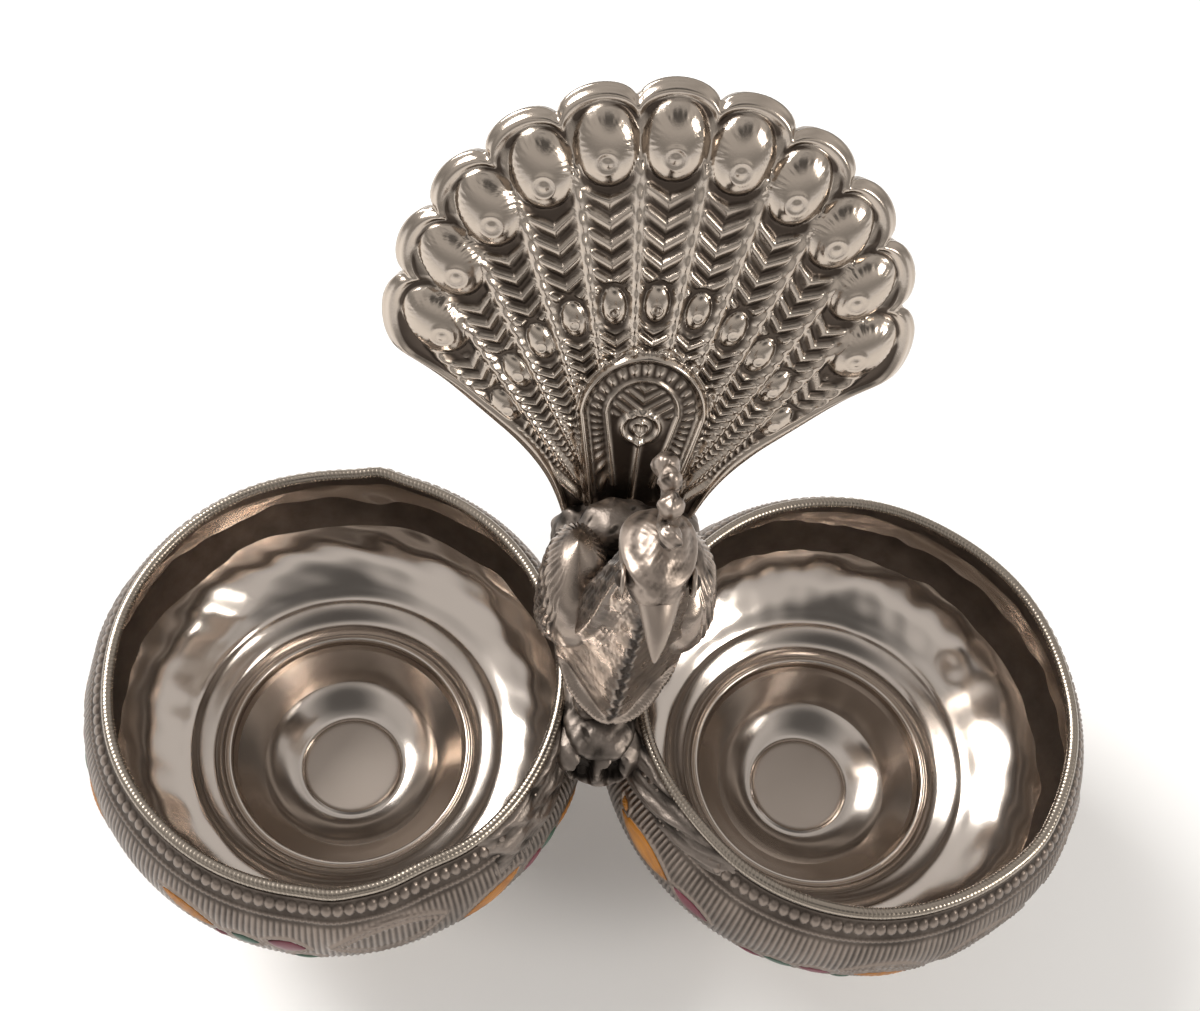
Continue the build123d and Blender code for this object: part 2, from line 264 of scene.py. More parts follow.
def make_piece(
    name: str,
    points: Array,
    along: bool = False,
    poles: bool = False,
    relief: Array | float = PLAIN_RELIEF,
) -> bpy.types.Object:
    """Turn a grid of points in millimetres into a closed smooth object in metres.

    Points at one place become one vertex, which closes seams and poles. The faces are turned outwards by
    the sign of the volume they enclose, which is the sum over triangles of a . (b x c).

    Args:
        name: name of the object.
        points: grid of rows, columns and three coordinates, whose last column meets its first.
        along: join the last row to the first.
        poles: draw the first and last rows each to their middle.
        relief: value from 0 in a groove to 1 on a ridge, lowered in some places to paint shade, kept as an
            attribute of the points.

    Returns:
        The new object, linked to the scene and riding on the root body.
    """
    rows, columns = points.shape[:2]
    points = points.copy()
    if poles:
        points[0] = points[0].mean(axis=0)
        points[-1] = points[-1].mean(axis=0)
    flat = points.reshape(-1, 3)
    _, first, number = np.unique(
        np.round(flat / SAME_PLACE).astype(np.int64), axis=0, return_index=True, return_inverse=True
    )
    quads = number.ravel()[grid_faces(rows, columns, along)]
    corner = flat[first]
    a, b, c, d = (corner[quads[:, k]] for k in range(4))
    if float(np.sum(a * np.cross(b, c)) + np.sum(a * np.cross(c, d))) < 0.0:
        quads = quads[:, ::-1]
    faces = [face for face in (tuple(dict.fromkeys(quad)) for quad in quads.tolist()) if len(face) > 2]
    mesh = bpy.data.meshes.new(name)
    mesh.from_pydata((corner * MM).tolist(), [], faces)
    mesh.polygons.foreach_set("use_smooth", np.ones(len(mesh.polygons), bool))
    value = np.broadcast_to(relief, (rows, columns)).ravel()
    layer = mesh.attributes.new("relief", "FLOAT", "POINT")
    layer.data.foreach_set("value", np.clip(value[first], 0.0, 1.0).astype(np.float32))
    mesh.update()
    piece = bpy.data.objects.new(name, mesh)
    bpy.context.scene.collection.objects.link(piece)
    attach(piece, ROOT)
    LOG.info("made %s with %d faces", name, len(faces))
    return piece


def join_pieces(name: str, parts: Sequence[bpy.types.Object]) -> bpy.types.Object:
    """Join several pieces into the first one and rename it.

    Args:
        name: the joined piece's name.
        parts: the pieces to join.

    Returns:
        The joined piece.
    """
    chosen = list(parts)
    with bpy.context.temp_override(
        active_object=parts[0], object=parts[0], selected_objects=chosen, selected_editable_objects=chosen
    ):
        bpy.ops.object.join()
    parts[0].name = name
    parts[0].data.name = name
    return parts[0]


# Materials

class Sockets:
    """Small helper that adds nodes to a tree and wires them."""

    def __init__(self, tree: bpy.types.NodeTree) -> None:
        """Keep the tree that the nodes go in."""
        self.tree = tree

    def add(self, kind: str, **inputs: object) -> bpy.types.Node:
        """Add a node, set its properties and values, and wire the sockets given for its inputs.

        Args:
            kind: the node's type name.
            inputs: property names, input names with spaces written as underscores, or input numbers
                after an underscore.

        Returns:
            The new node.
        """
        node = self.tree.nodes.new(kind)
        for key, value in inputs.items():
            if hasattr(node, key) and key not in ("inputs", "color"):
                setattr(node, key, value)
                continue
            socket = node.inputs[int(key[1:])] if key[0] == "_" else node.inputs[key.replace("_", " ")]
            if isinstance(value, bpy.types.NodeSocket):
                self.tree.links.new(value, socket)
            else:
                socket.default_value = value
        return node

    def math(self, operation: str, first: object, second: object,
             clamp: bool = False) -> bpy.types.NodeSocket:
        """Result of a two-input math node."""
        node = self.add("ShaderNodeMath", operation=operation, use_clamp=clamp, _0=first, _1=second)
        return node.outputs[0]

    def noise(self, place: bpy.types.NodeSocket, size: object, detail: float,
              roughness: float = 0.5) -> bpy.types.NodeSocket:
        """Value of a noise texture at a place, with its scale, detail and roughness."""
        return self.add("ShaderNodeTexNoise", Vector=place, Scale=size, Detail=detail,
                        Roughness=roughness).outputs["Fac"]

    def blend(self, share: object, low: Colour, high: Colour) -> bpy.types.NodeSocket:
        """Colour mixed from low to high by a share of 0 to 1."""
        mix = self.add("ShaderNodeMix", data_type="RGBA", _0=share, _6=(*low, 1.0), _7=(*high, 1.0))
        return mix.outputs[2]


def tarnish_and_shade_group() -> bpy.types.NodeTree:
    """Group that turns a piece's relief and a fine noise into masks of tarnish with painted shade, and of
    wear.

    Grooves hold dark tarnish, ridges are rubbed bright, and a cloudy noise breaks both up. Where a piece's
    relief value is lowered to paint shade, this same mask paints that shade dark.

    Returns:
        The group, built on the first call.
    """
    group = bpy.data.node_groups.get("tarnish and wear")
    if group:
        return group
    clean_above, cloud_share, gain, grain_size = 0.62, 0.45, 1.9, 2600.0
    group = bpy.data.node_groups.new("tarnish and wear", "ShaderNodeTree")
    face = group.interface
    for label, value in (("Relief", PLAIN_RELIEF), ("Cloud Size", 300.0), ("Depth", 1.0)):
        face.new_socket(label, in_out="INPUT", socket_type="NodeSocketFloat").default_value = value
    for label in ("Tarnish", "Cloud", "Grain"):
        face.new_socket(label, in_out="OUTPUT", socket_type="NodeSocketFloat")
    s = Sockets(group)
    source = group.nodes.new("NodeGroupInput").outputs
    place = s.add("ShaderNodeTexCoord").outputs["Object"]
    cloud = s.noise(place, source["Cloud Size"], 4.0, 0.6)
    hollow = s.math("SUBTRACT", clean_above, source["Relief"])
    broken = s.math("ADD", hollow, s.math("MULTIPLY", s.math("SUBTRACT", cloud, 0.5), cloud_share))
    # Tarnish in the grooves, and painted shade wherever a piece's relief value is lowered to paint it.
    tarnish_and_shade = s.math("MULTIPLY", s.math("MULTIPLY", broken, gain), source["Depth"], clamp=True)
    s.add("NodeGroupOutput", Tarnish=tarnish_and_shade, Cloud=cloud, Grain=s.noise(place, grain_size, 3.0, 0.65))
    return group


@dataclass(frozen=True)
class Finish:
    """A finish that covers pieces, made as a material once."""

    name: str

    def shader(self, s: Sockets) -> bpy.types.Node:
        """Draw the Principled shader of this kind of finish."""
        raise NotImplementedError

    def material(self) -> bpy.types.Material:
        """Build the material, or fetch it if it is there.

        Returns:
            The material.
        """
        made = bpy.data.materials.get(self.name)
        if made is None:
            made = bpy.data.materials.new(self.name)
            made.use_nodes = True
            made.node_tree.nodes.clear()
            s = Sockets(made.node_tree)
            s.add("ShaderNodeOutputMaterial", Surface=self.shader(s).outputs["BSDF"])
        return made


@dataclass(frozen=True)
class Metal(Finish):
    """A silver-coloured finish: how bright, how rough, how tarnished and painted with shade, and how uneven
    it is.
    """

    bright: Colour
    dark: Colour
    rough: float
    rough_dark: float
    cloud: float = 300.0
    depth: float = 1.0
    grain: float = 0.02
    ripple: float = 0.0
    ripple_size: float = 160.0
    pits: float = 0.0
    pit_size: float = 900.0
    rough_cloud: float = 0.16
    bump_height: float = 0.0003

    def shader(self, s: Sockets) -> bpy.types.Node:
        """Draw the metal, darker and duller where it is tarnished and where shade is painted in, over grain,
        ripples and pits.

        Args:
            s: sockets of the material's tree.

        Returns:
            The shader node.
        """
        relief = s.add("ShaderNodeAttribute", attribute_name="relief").outputs["Fac"]
        masks = s.add("ShaderNodeGroup", node_tree=tarnish_and_shade_group(), Relief=relief,
                      Cloud_Size=self.cloud, Depth=self.depth).outputs
        # The dark colour is tarnish, and painted shade where the relief value is lowered for it.
        colour = s.blend(masks["Tarnish"], self.bright, self.dark)
        dulled = s.math("ADD", self.rough, s.math("MULTIPLY", masks["Tarnish"], self.rough_dark - self.rough))
        patchy = s.math("MULTIPLY", s.math("SUBTRACT", masks["Cloud"], 0.5), self.rough_cloud)
        rough = s.math("ADD", dulled, patchy, clamp=True)
        place = s.add("ShaderNodeTexCoord").outputs["Object"]
        swell = s.noise(place, self.ripple_size, 1.0)
        height = s.math("ADD", s.math("MULTIPLY", masks["Grain"], self.grain),
                        s.math("MULTIPLY", swell, self.ripple))
        if self.pits:
            pit = s.add("ShaderNodeTexVoronoi", Vector=place, Scale=self.pit_size).outputs["Distance"]
            height = s.math("ADD", height, s.math("MULTIPLY", pit, self.pits))
        bent = s.add("ShaderNodeBump", Strength=1.0, Distance=self.bump_height, Height=height)
        return s.add("ShaderNodeBsdfPrincipled", Base_Color=colour, Roughness=rough, Metallic=1.0,
                     Normal=bent.outputs["Normal"])


@dataclass(frozen=True)
class Enamel(Finish):
    """A hard glossy paint in the leaves: its colour, and a deeper one where it lies thin."""

    colour: Colour
    deep: Colour
    cloud: float = 900.0
    rough: float = 0.26
    rough_cloud: float = 0.24
    bump_height: float = 0.0001

    def shader(self, s: Sockets) -> bpy.types.Node:
        """Draw the enamel with its colour and gloss a little uneven.

        Args:
            s: sockets of the material's tree.

        Returns:
            The shader node.
        """
        relief = s.add("ShaderNodeAttribute", attribute_name="relief").outputs["Fac"]
        cloud = s.noise(s.add("ShaderNodeTexCoord").outputs["Object"], self.cloud, 3.0)
        share = s.math("ADD", s.math("MULTIPLY", relief, 0.7), s.math("MULTIPLY", cloud, 0.4), clamp=True)
        colour = s.blend(share, self.deep, self.colour)
        rough = s.math("ADD", self.rough, s.math("MULTIPLY", cloud, self.rough_cloud))
        bent = s.add("ShaderNodeBump", Strength=0.5, Distance=self.bump_height, Height=cloud)
        return s.add("ShaderNodeBsdfPrincipled", Base_Color=colour, Roughness=rough,
                     Normal=bent.outputs["Normal"])


MIRROR = Metal("polished bowl silver", (0.65, 0.585, 0.53), (0.25, 0.21, 0.18), 0.145, 0.28,
               cloud=90.0, depth=0.8, grain=0.006, ripple=0.35, ripple_size=70.0)
SPOT = Metal("dull base spot silver", (0.53, 0.46, 0.405), (0.27, 0.23, 0.20), 0.42, 0.5,
             cloud=160.0, grain=0.03)
REEDED = Metal("embossed band silver", (0.235, 0.193, 0.164), (0.06, 0.048, 0.04), 0.31, 0.48,
               cloud=220.0, grain=0.05)
WIRE = Metal("rim wire silver", (0.37, 0.32, 0.268), (0.12, 0.098, 0.078), 0.25, 0.42,
             cloud=260.0, grain=0.05)
STAMPED = Metal("stamped tail silver", (0.51, 0.44, 0.375), (0.088, 0.069, 0.056), 0.18, 0.38,
                cloud=240.0, depth=1.25, grain=0.03, ripple=0.08, ripple_size=420.0)
PLAIN_BACK = Metal("plain tail back silver", (0.54, 0.475, 0.415), (0.20, 0.17, 0.145), 0.24, 0.4,
                   cloud=150.0, grain=0.03, ripple=0.2, ripple_size=180.0)
CAST = Metal("cast bird silver", (0.325, 0.268, 0.226), (0.052, 0.041, 0.034), 0.27, 0.46,
             cloud=330.0, depth=1.3, grain=0.05, ripple=0.09, ripple_size=420.0)
SKULL = Metal("worn head silver", (0.335, 0.277, 0.235), (0.056, 0.044, 0.036), 0.40, 0.54,
              cloud=330.0, depth=1.3, grain=0.06, ripple=0.10, ripple_size=420.0)
SOLDER = Metal("rough solder", (0.24, 0.203, 0.176), (0.04, 0.033, 0.028), 0.42, 0.60,
               cloud=360.0, depth=1.25, grain=0.18, ripple=0.30, ripple_size=330.0, pits=0.15)
ORANGE = Enamel("orange enamel", (0.48, 0.185, 0.006), (0.20, 0.062, 0.004))
MAGENTA = Enamel("magenta enamel", (0.20, 0.024, 0.045), (0.07, 0.010, 0.02))
GREEN = Enamel("green enamel", (0.045, 0.115, 0.07), (0.018, 0.045, 0.03))


def dress(piece: bpy.types.Object, finish: Finish, slot: str, *nodes: str) -> bpy.types.Object:
    """Give a piece its finish, and let it stand for CAD nodes.

    Args:
        piece: the new piece.
        finish: the finish that covers it.
        slot: name of the record's material slot; not used.
        nodes: CAD nodes that the piece replaces.

    Returns:
        The same piece.
    """
    piece.data.materials.clear()
    piece.data.materials.append(finish.material())
    if nodes:
        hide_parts(*nodes)
    return piece


# Bowls

class MotifKind(Enum):
    """What fills one of the leaf shapes in the embossed band."""

    PLAIN = "plain"
    ORANGE = "orange"
    MAGENTA = "magenta"
    GREEN = "green"


ENAMELS = {MotifKind.ORANGE: ORANGE, MotifKind.MAGENTA: MAGENTA, MotifKind.GREEN: GREEN}


@dataclass(frozen=True)
class Motif:
    """One leaf shape: its kind, degrees round the bowl, height, length, width and tilt in degrees."""

    kind: MotifKind
    angle: float
    height: float
    length: float
    width: float
    tilt: float = 0.0


HIDDEN_STEP = 68.0
HIDDEN_ROW = (
    Motif(MotifKind.PLAIN, 12.0, 29.6, 11.8, 6.4),
    Motif(MotifKind.ORANGE, 31.0, 28.6, 7.4, 2.9, 22.0),
    Motif(MotifKind.MAGENTA, 41.5, 28.3, 3.6, 2.0, 10.0),
    Motif(MotifKind.GREEN, 48.5, 28.4, 3.0, 1.5, -8.0),
    Motif(MotifKind.ORANGE, 58.0, 28.8, 5.6, 2.2, -20.0),
)
LEFT_MOTIFS = (
    Motif(MotifKind.ORANGE, -119.5, 29.9, 7.0, 2.4, -16.0),
    Motif(MotifKind.MAGENTA, -111.2, 28.0, 1.6, 1.0, -20.0),
    Motif(MotifKind.GREEN, -105.6, 28.7, 3.3, 1.6, -10.0),
    Motif(MotifKind.MAGENTA, -96.4, 29.4, 4.2, 2.6, -8.0),
    Motif(MotifKind.GREEN, -92.5, 26.2, 3.0, 0.9, 0.0),
    Motif(MotifKind.PLAIN, -74.0, 30.2, 12.4, 6.6, 3.0),
    Motif(MotifKind.ORANGE, -49.6, 28.2, 8.6, 2.9, 24.0),
    Motif(MotifKind.MAGENTA, -37.6, 27.6, 3.4, 1.9, 20.0),
    Motif(MotifKind.GREEN, -31.6, 27.8, 3.2, 1.5, 12.0),
    Motif(MotifKind.ORANGE, -22.5, 27.0, 6.5, 2.6, -10.0),
)
RIGHT_MOTIFS = (
    Motif(MotifKind.ORANGE, -155.5, 31.0, 1.9, 1.0, -40.0),
    Motif(MotifKind.ORANGE, -146.0, 28.9, 9.6, 3.9, -6.0),
    Motif(MotifKind.MAGENTA, -129.4, 27.9, 5.4, 2.3, -14.0),
    Motif(MotifKind.MAGENTA, -112.8, 25.4, 3.0, 1.1, -6.0),
    Motif(MotifKind.GREEN, -106.3, 25.9, 3.9, 1.5, -10.0),
    Motif(MotifKind.MAGENTA, -98.2, 26.4, 3.8, 1.9, -4.0),
    Motif(MotifKind.GREEN, -91.6, 24.6, 2.6, 0.9, 0.0),
    Motif(MotifKind.ORANGE, -83.2, 26.2, 6.6, 2.2, -8.0),
    Motif(MotifKind.PLAIN, -83.0, 27.4, 9.4, 5.6, -6.0),
    Motif(MotifKind.PLAIN, -58.0, 28.0, 11.6, 6.2, 0.0),
)


def motif_ring(shown: Sequence[Motif], first: float, last: float) -> list[Motif]:
    """The motifs that the photograph shows, and a regular row of them round the hidden side.

    Args:
        shown: motifs that are seen.
        first: angle in degrees where the hidden side starts.
        last: angle where it ends.

    Returns:
        All motifs of one bowl.
    """
    ring = list(shown)
    count = int((last - first) // HIDDEN_STEP)
    for turn in range(count):
        start = first + (turn + 0.5) * (last - first) / count - HIDDEN_STEP / 2
        ring += [replace(motif, angle=start + motif.angle) for motif in HIDDEN_ROW]
    return ring


@dataclass(frozen=True)
class Dent:
    """A local dent in the rim: place and width in degrees, and how far it goes outwards and up."""

    angle: float
    width: float
    outward: float
    upward: float


@dataclass
class Bowl:
    """One pressed bowl with its foot, rim wire, embossed band and enamel.

    Rows of the band are given as distances down the wall from the rim.
    """

    side: Side
    motifs: Sequence[Motif]
    dents: Sequence[Dent]
    sway_phase: float
    offset: float = 30.0
    rim: float = 38.0
    mouth: float = 25.0
    sheet: float = 0.6
    swaying: float = 17.0
    beat_size: float = 15.0
    beat_height: float = 0.075
    wire: float = 0.65
    wire_under: float = 0.35
    wire_marks: int = 330
    wire_mark_height: float = 0.016
    band_rows: Sequence[tuple[float, float, int]] = ((0.5, 4.4, 20), (4.6, 16.0, 36), (16.9, 21.5, 4))
    band_columns: int = 1560
    band_skin: float = 0.05
    band_root: float = -0.12
    band_back: float = -0.3
    back_rows: Sequence[float] = (20.0, 11.0, 2.0)
    pearls: int = 138
    pearl_row: float = 1.95
    pearl_half: float = 0.85
    pearl_height: float = 0.34
    dash_row: float = 3.75
    dash_width: float = 0.20
    dash_height: float = 0.22
    reeds: int = 260
    reed_height: float = 0.15
    pad_skin: float = 0.12
    pad_root: float = -0.15
    pad_height: float = 0.30
    hatch_pitch: float = 0.72
    hatch_height: float = 0.05
    outer_keys: Sequence[tuple[float, float]] = (
        (0.0, 2.7), (3.0, 2.7), (6.9, 2.7), (9.2, 3.6), (11.6, 5.6), (13.9, 8.3), (15.6, 10.6), (18.6, 13.9),
        (21.9, 15.1), (25.3, 17.3), (28.2, 21.4), (29.4, 26.4), (29.1, 30.6), (27.9, 34.2), (26.3, 36.9),
        (25.6, 38.0),
    )
    inner_keys: Sequence[tuple[float, float]] = (
        (25.0, 38.0), (25.6, 36.9), (27.2, 34.0), (28.4, 30.4), (28.7, 26.4), (27.6, 21.9), (25.0, 18.2),
        (21.6, 15.8), (19.4, 14.9), (18.8, 14.2), (17.9, 13.6), (16.6, 13.0), (15.7, 12.0), (14.9, 9.9),
        (13.4, 7.2), (11.2, 5.2), (8.6, 3.95), (7.2, 3.5), (6.6, 3.4), (6.4, 3.62), (5.6, 3.66), (0.0, 3.66),
    )
    spot_keys: Sequence[tuple[float, float]] = (
        (0.0, 3.3), (5.9, 3.3), (6.45, 3.45), (6.2, 3.78), (5.6, 3.86), (0.0, 3.86),
    )
    foot_keys: Sequence[tuple[float, float]] = (
        (15.9, 0.4), (15.8, 0.05), (16.4, 0.0), (17.2, 0.0), (17.35, 0.45), (17.2, 0.95), (16.7, 1.5),
        (16.2, 3.2), (15.7, 7.5), (15.5, 11.2), (15.1, 11.5), (14.7, 11.2), (14.9, 7.5), (15.4, 3.0),
        (15.9, 0.4),
    )

    @property
    def centre(self) -> float:
        """X of the bowl's axis."""
        return self.side.value * self.offset

    def sway(self, angle: Array) -> tuple[Array, Array]:
        """Wander of the hand-beaten rim: a slow sum of sines, and a bell curve for each dent.

        Args:
            angle: angle round the bowl in radians.

        Returns:
            How far the rim goes outwards and up there.
        """
        phase = self.sway_phase
        out = 0.10 * np.sin(2 * angle + phase) + 0.07 * np.sin(5 * angle + 2.1 * phase)
        out = out + 0.04 * np.sin(9 * angle + phase)
        lift = 0.06 * np.sin(3 * angle + phase) + 0.05 * np.sin(7 * angle - phase)
        for dent in self.dents:
            share = bump(wrapped(angle - math.radians(dent.angle)), math.radians(dent.width))
            out = out + dent.outward * share
            lift = lift + dent.upward * share
        return out, lift

    def place(self, radius: Array, angle: Array, height: Array, outward: Array | float = 0.0,
              upward: Array | float = 0.0) -> Array:
        """Points about the bowl's axis, moved with the rim's wander, which fades in over the upper wall.

        Args:
            radius: distance from the axis.
            angle: angle round it in radians.
            height: height, which also sets the share of the wander.
            outward: distance added away from the axis.
            upward: distance added upwards.

        Returns:
            Grid of points.
        """
        share = ramp(height, self.rim - self.swaying, self.rim)
        out, lift = self.sway(angle)
        return turned(self.centre, radius + share * out + outward, angle, height + share * lift + upward)

    def wall(self, depth: Array) -> tuple[Array, Array]:
        """Radius and height of the outer wall at a distance down the wall from the rim.

        Args:
            depth: distance down the wall.

        Returns:
            The radius and the height.
        """
        path = smooth_path(self.outer_keys, spacing=0.1)[::-1]
        length = run_length(path)
        return np.interp(depth, length, path[:, 0]), np.interp(depth, length, path[:, 1])

    def depth_at(self, height: float) -> float:
        """Distance down the wall from the rim to a height.

        Args:
            height: height over the table.

        Returns:
            The distance.
        """
        depth = np.linspace(0.0, 24.0, 400)
        _, heights = self.wall(depth)
        return float(np.interp(-height, -heights, depth))

    def shell(self) -> bpy.types.Object:
        """The pressed sheet: the outer wall up to the rim, and the beaten inside down to the base.

        Returns:
            The shell.
        """
        outer = smooth_path(self.outer_keys, spacing=0.55)
        path = np.vstack([outer, smooth_path(self.inner_keys, spacing=0.26)])
        inside = 1.0 * (np.arange(len(path)) >= len(outer))[:, None]
        height = path[:, 1:]
        grid = self.place(path[:, :1], around_once(288)[None, :], height)
        belly = inside * ramp(height, 13.6, 17.0) * ramp(-height, -37.6, -35.0)
        beaten = self.beat_height * lumps(grid, self.beat_size, 11 + self.side.value, 2) * belly
        grid = grid + normals_of(grid) * beaten[..., None]
        # The relief value drops in rings at the inner steps and round the spot's edge: painted dark
        # reflections of shade in the polished inside.
        steps = bump(height - 14.0, 0.9) + 0.7 * bump(height - 12.2, 0.8) + 0.5 * bump(height - 3.4, 0.15)
        relief = 0.72 - 0.36 * steps * inside
        return make_piece(f"{self.side.word}_bowl_shell", grid, poles=True, relief=relief)

    def spot(self) -> bpy.types.Object:
        """Dull flat spot in the middle of the dished base, turned from a thin rounded line.

        Returns:
            The spot.
        """
        path = smooth_path(self.spot_keys, rounds=2, spacing=0.2)
        grid = self.place(path[:, :1], around_once(96)[None, :], path[:, 1:])
        return make_piece(f"{self.side.word}_base_spot", grid, poles=True, relief=0.7)

    def local(self, motif: Motif, angle: Array, depth: Array, radius: Array) -> tuple[Array, Array]:
        """Distances along and across a motif from its middle, on the wall unrolled flat.

        Args:
            motif: the leaf shape.
            angle: angle round the bowl in radians.
            depth: distance down the wall.
            radius: radius of the wall there.

        Returns:
            Distance along the motif and distance across it.
        """
        x = wrapped(angle - math.radians(motif.angle)) * radius
        y = self.depth_at(motif.height) - depth
        turn = math.radians(motif.tilt)
        return x * math.cos(turn) + y * math.sin(turn), -x * math.sin(turn) + y * math.cos(turn)

    def motif_fields(self, angle: Array, depth: Array, radius: Array) -> tuple[Array, Array]:
        """Raised frames of the leaf shapes, and where the reeding is held back for them.

        A leaf is the space between two parabolas, so its half width falls from the middle to its tips as
        one less the square of the distance along it. The frame is a bell curve on that outline.

        Args:
            angle: angle round the bowl in radians.
            depth: distance down the wall.
            radius: radius of the wall there.

        Returns:
            Height of the frames, and a 0 to 1 share of calm.
        """
        frames = np.zeros_like(angle)
        calm = np.zeros_like(angle)
        for motif in self.motifs:
            along, across = self.local(motif, angle, depth, radius)
            half = motif.width / 2 * (1.0 - (2.0 * along / (motif.length + 0.8)) ** 2)
            edge = half - np.abs(across)
            near = np.abs(along) < motif.length / 2 + 0.9
            if motif.kind is MotifKind.PLAIN:
                frame, rest = 0.30 * bump(edge, 0.3) + 0.2 * bump(edge - 1.0, 0.2), bump(edge, 0.9) * 0.85
            else:
                frame, rest = 0.24 * bump(edge + 0.3, 0.3), ramp(edge, -1.4, -0.3)
            frames = np.maximum(frames, near * frame)
            calm = np.maximum(calm, near * rest)
        return frames, calm

    def band(self) -> bpy.types.Object:
        """Embossed skin on the outer wall: pearls, a dashed line, reeding and leaf frames.

        The skin's height over the wall is a sum: a row of half balls below the wire, a broken raised line,
        upright reeds as a cosine of the angle, and the leaf frames. It sinks into the wall at its top and
        bottom edges and closes behind them.

        Returns:
            The band.
        """
        turn = around_once(self.band_columns)
        angle, depth = np.meshgrid(turn, np.concatenate([np.linspace(*row) for row in self.band_rows]))
        radius, height = self.wall(depth)
        frames, calm = self.motif_fields(angle, depth, radius)
        pitch = FULL_TURN / self.pearls
        across = (np.mod(angle, pitch) / pitch - 0.5) / 0.49
        pearl = half_round(np.hypot(across, (depth - self.pearl_row) / self.pearl_half))
        wave = np.cos(angle * self.reeds)
        dash = self.dash_height * bump(depth - self.dash_row, self.dash_width) * (0.40 + 0.60 * (wave > -0.3))
        strong = ramp(depth, 4.3, 4.9) * (1.0 - ramp(depth, 17.0, 20.5)) * (1.0 - calm)
        reed = (0.5 + 0.5 * wave) * strong
        ends = ramp(depth, 0.45, 0.9) * (1.0 - ramp(depth, 20.4, 21.5))
        ornament = self.pearl_height * pearl + dash + self.reed_height * reed + frames
        raised = np.where(ends > 0.02, self.band_skin + ornament * ends, self.band_root)
        relief = 0.16 + 0.60 * pearl + 4.0 * dash + 0.5 * reed
        relief = relief + 2.2 * frames + 0.42 * calm * (1.0 - bump(depth - 2.0, 0.8))
        relief = np.where(depth < 0.9, 0.3, relief)
        front = self.place(radius, angle, height)
        front = front + normals_of(front) * raised[..., None]
        back_radius, back_height = self.wall(np.array(self.back_rows)[:, None])
        back = self.place(back_radius, turn[None, :], back_height, self.band_back)
        relief = np.vstack([relief, np.full(back.shape[:2], 0.3)])
        grid = np.vstack([front, back])
        return make_piece(f"{self.side.word}_embossed_band", grid, along=True, relief=relief)

    def pad(self, number: int, motif: Motif) -> bpy.types.Object:
        """Low pad of enamel in one leaf shape.

        Its outline is the leaf's two parabolas, and its cross section is a half ellipse over a flat base
        that lies just under the wall's face. Orange pads carry a fine diamond hatch.

        Args:
            number: the motif's place in the bowl's list.
            motif: the leaf shape.

        Returns:
            The pad.
        """
        along = np.sin(np.linspace(-math.pi / 2, math.pi / 2, 40))[:, None]
        turn = around_once(36)[None, :]
        x = along * motif.length / 2 + 0.0 * turn
        y = motif.width / 2 * (1.0 - along**2) * np.cos(turn)
        top = self.pad_height * np.sin(turn) * half_round(along)
        hatch = np.zeros_like(x)
        if motif.kind is MotifKind.ORANGE:
            thread = FULL_TURN / self.hatch_pitch
            hatch = np.sin((x + y) * thread) * np.sin((x - y) * thread)
        skin = self.pad_skin + top + self.hatch_height * hatch * (top > 0.05)
        raised = np.where(top > 0, skin, self.pad_root)
        tilt = math.radians(motif.tilt)
        gap = x * math.cos(tilt) - y * math.sin(tilt)
        down = self.depth_at(motif.height) - (x * math.sin(tilt) + y * math.cos(tilt))
        radius, height = self.wall(down)
        next_radius, next_height = self.wall(down + 0.2)
        run_out, run_up = next_radius - radius, next_height - height
        size = np.hypot(run_out, run_up)
        angle = math.radians(motif.angle) + gap / radius
        grid = self.place(radius, angle, height, -raised * run_up / size, raised * run_out / size)
        relief = 0.25 + 1.2 * np.clip(top, 0, 1) + 0.45 * hatch
        return make_piece(f"pad_{number}", grid, poles=True, relief=relief)

    def enamel(self, kind: MotifKind) -> bpy.types.Object:
        """All pads of one colour as one piece."""
        pads = [self.pad(number, motif) for number, motif in enumerate(self.motifs) if motif.kind is kind]
        return join_pieces(f"{self.side.word}_enamel_{kind.value}", pads)

    def rim_wire(self) -> bpy.types.Object:
        """Rolled wire on the rim: a ring with a flatter underside and fine slanting knurl marks.

        Returns:
            The wire.
        """
        turn = around_once(1980)[None, :]
        around = around_once(16)[:, None]
        marks = np.cos(turn * self.wire_marks + 1.6 * around)
        thick = self.wire * (1.0 + self.wire_mark_height * marks)
        flat = np.where(np.sin(around) < 0, self.wire_under, 1.0)
        grid = self.place(self.mouth + self.sheet / 2, turn, self.rim, thick * np.cos(around),
                          thick * np.sin(around) * flat)
        return make_piece(f"{self.side.word}_rim_lip", grid, along=True, relief=0.60 + 0.10 * marks)

    def foot(self) -> bpy.types.Object:
        """Flared foot ring with a rolled toe, turned from a closed line of radius and height.

        Returns:
            The foot ring.
        """
        path = smooth_path(self.foot_keys, rounds=2, spacing=0.35)[:-1]
        grid = turned(self.centre, path[:, :1], around_once(192)[None, :], path[:, 1:])
        relief = 0.66 - 0.3 * bump(path[:, 1:] - 1.6, 0.5)
        return make_piece(f"{self.side.word}_foot", grid, along=True, relief=relief)

    def build(self) -> None:
        """Make and dress all of the bowl's pieces."""
        word = self.side.word
        dress(self.shell(), MIRROR, "polished_silver", f"{word}_bowl")
        dress(self.spot(), SPOT, "polished_silver")
        dress(self.band(), REEDED, "polished_silver")
        dress(self.rim_wire(), WIRE, "knurled_wire", f"{word}_rim_wire")
        dress(self.foot(), MIRROR, "polished_silver", f"{word}_foot_ring")
        for kind, finish in ENAMELS.items():
            dress(self.enamel(kind), finish, "polished_silver")


# Tail

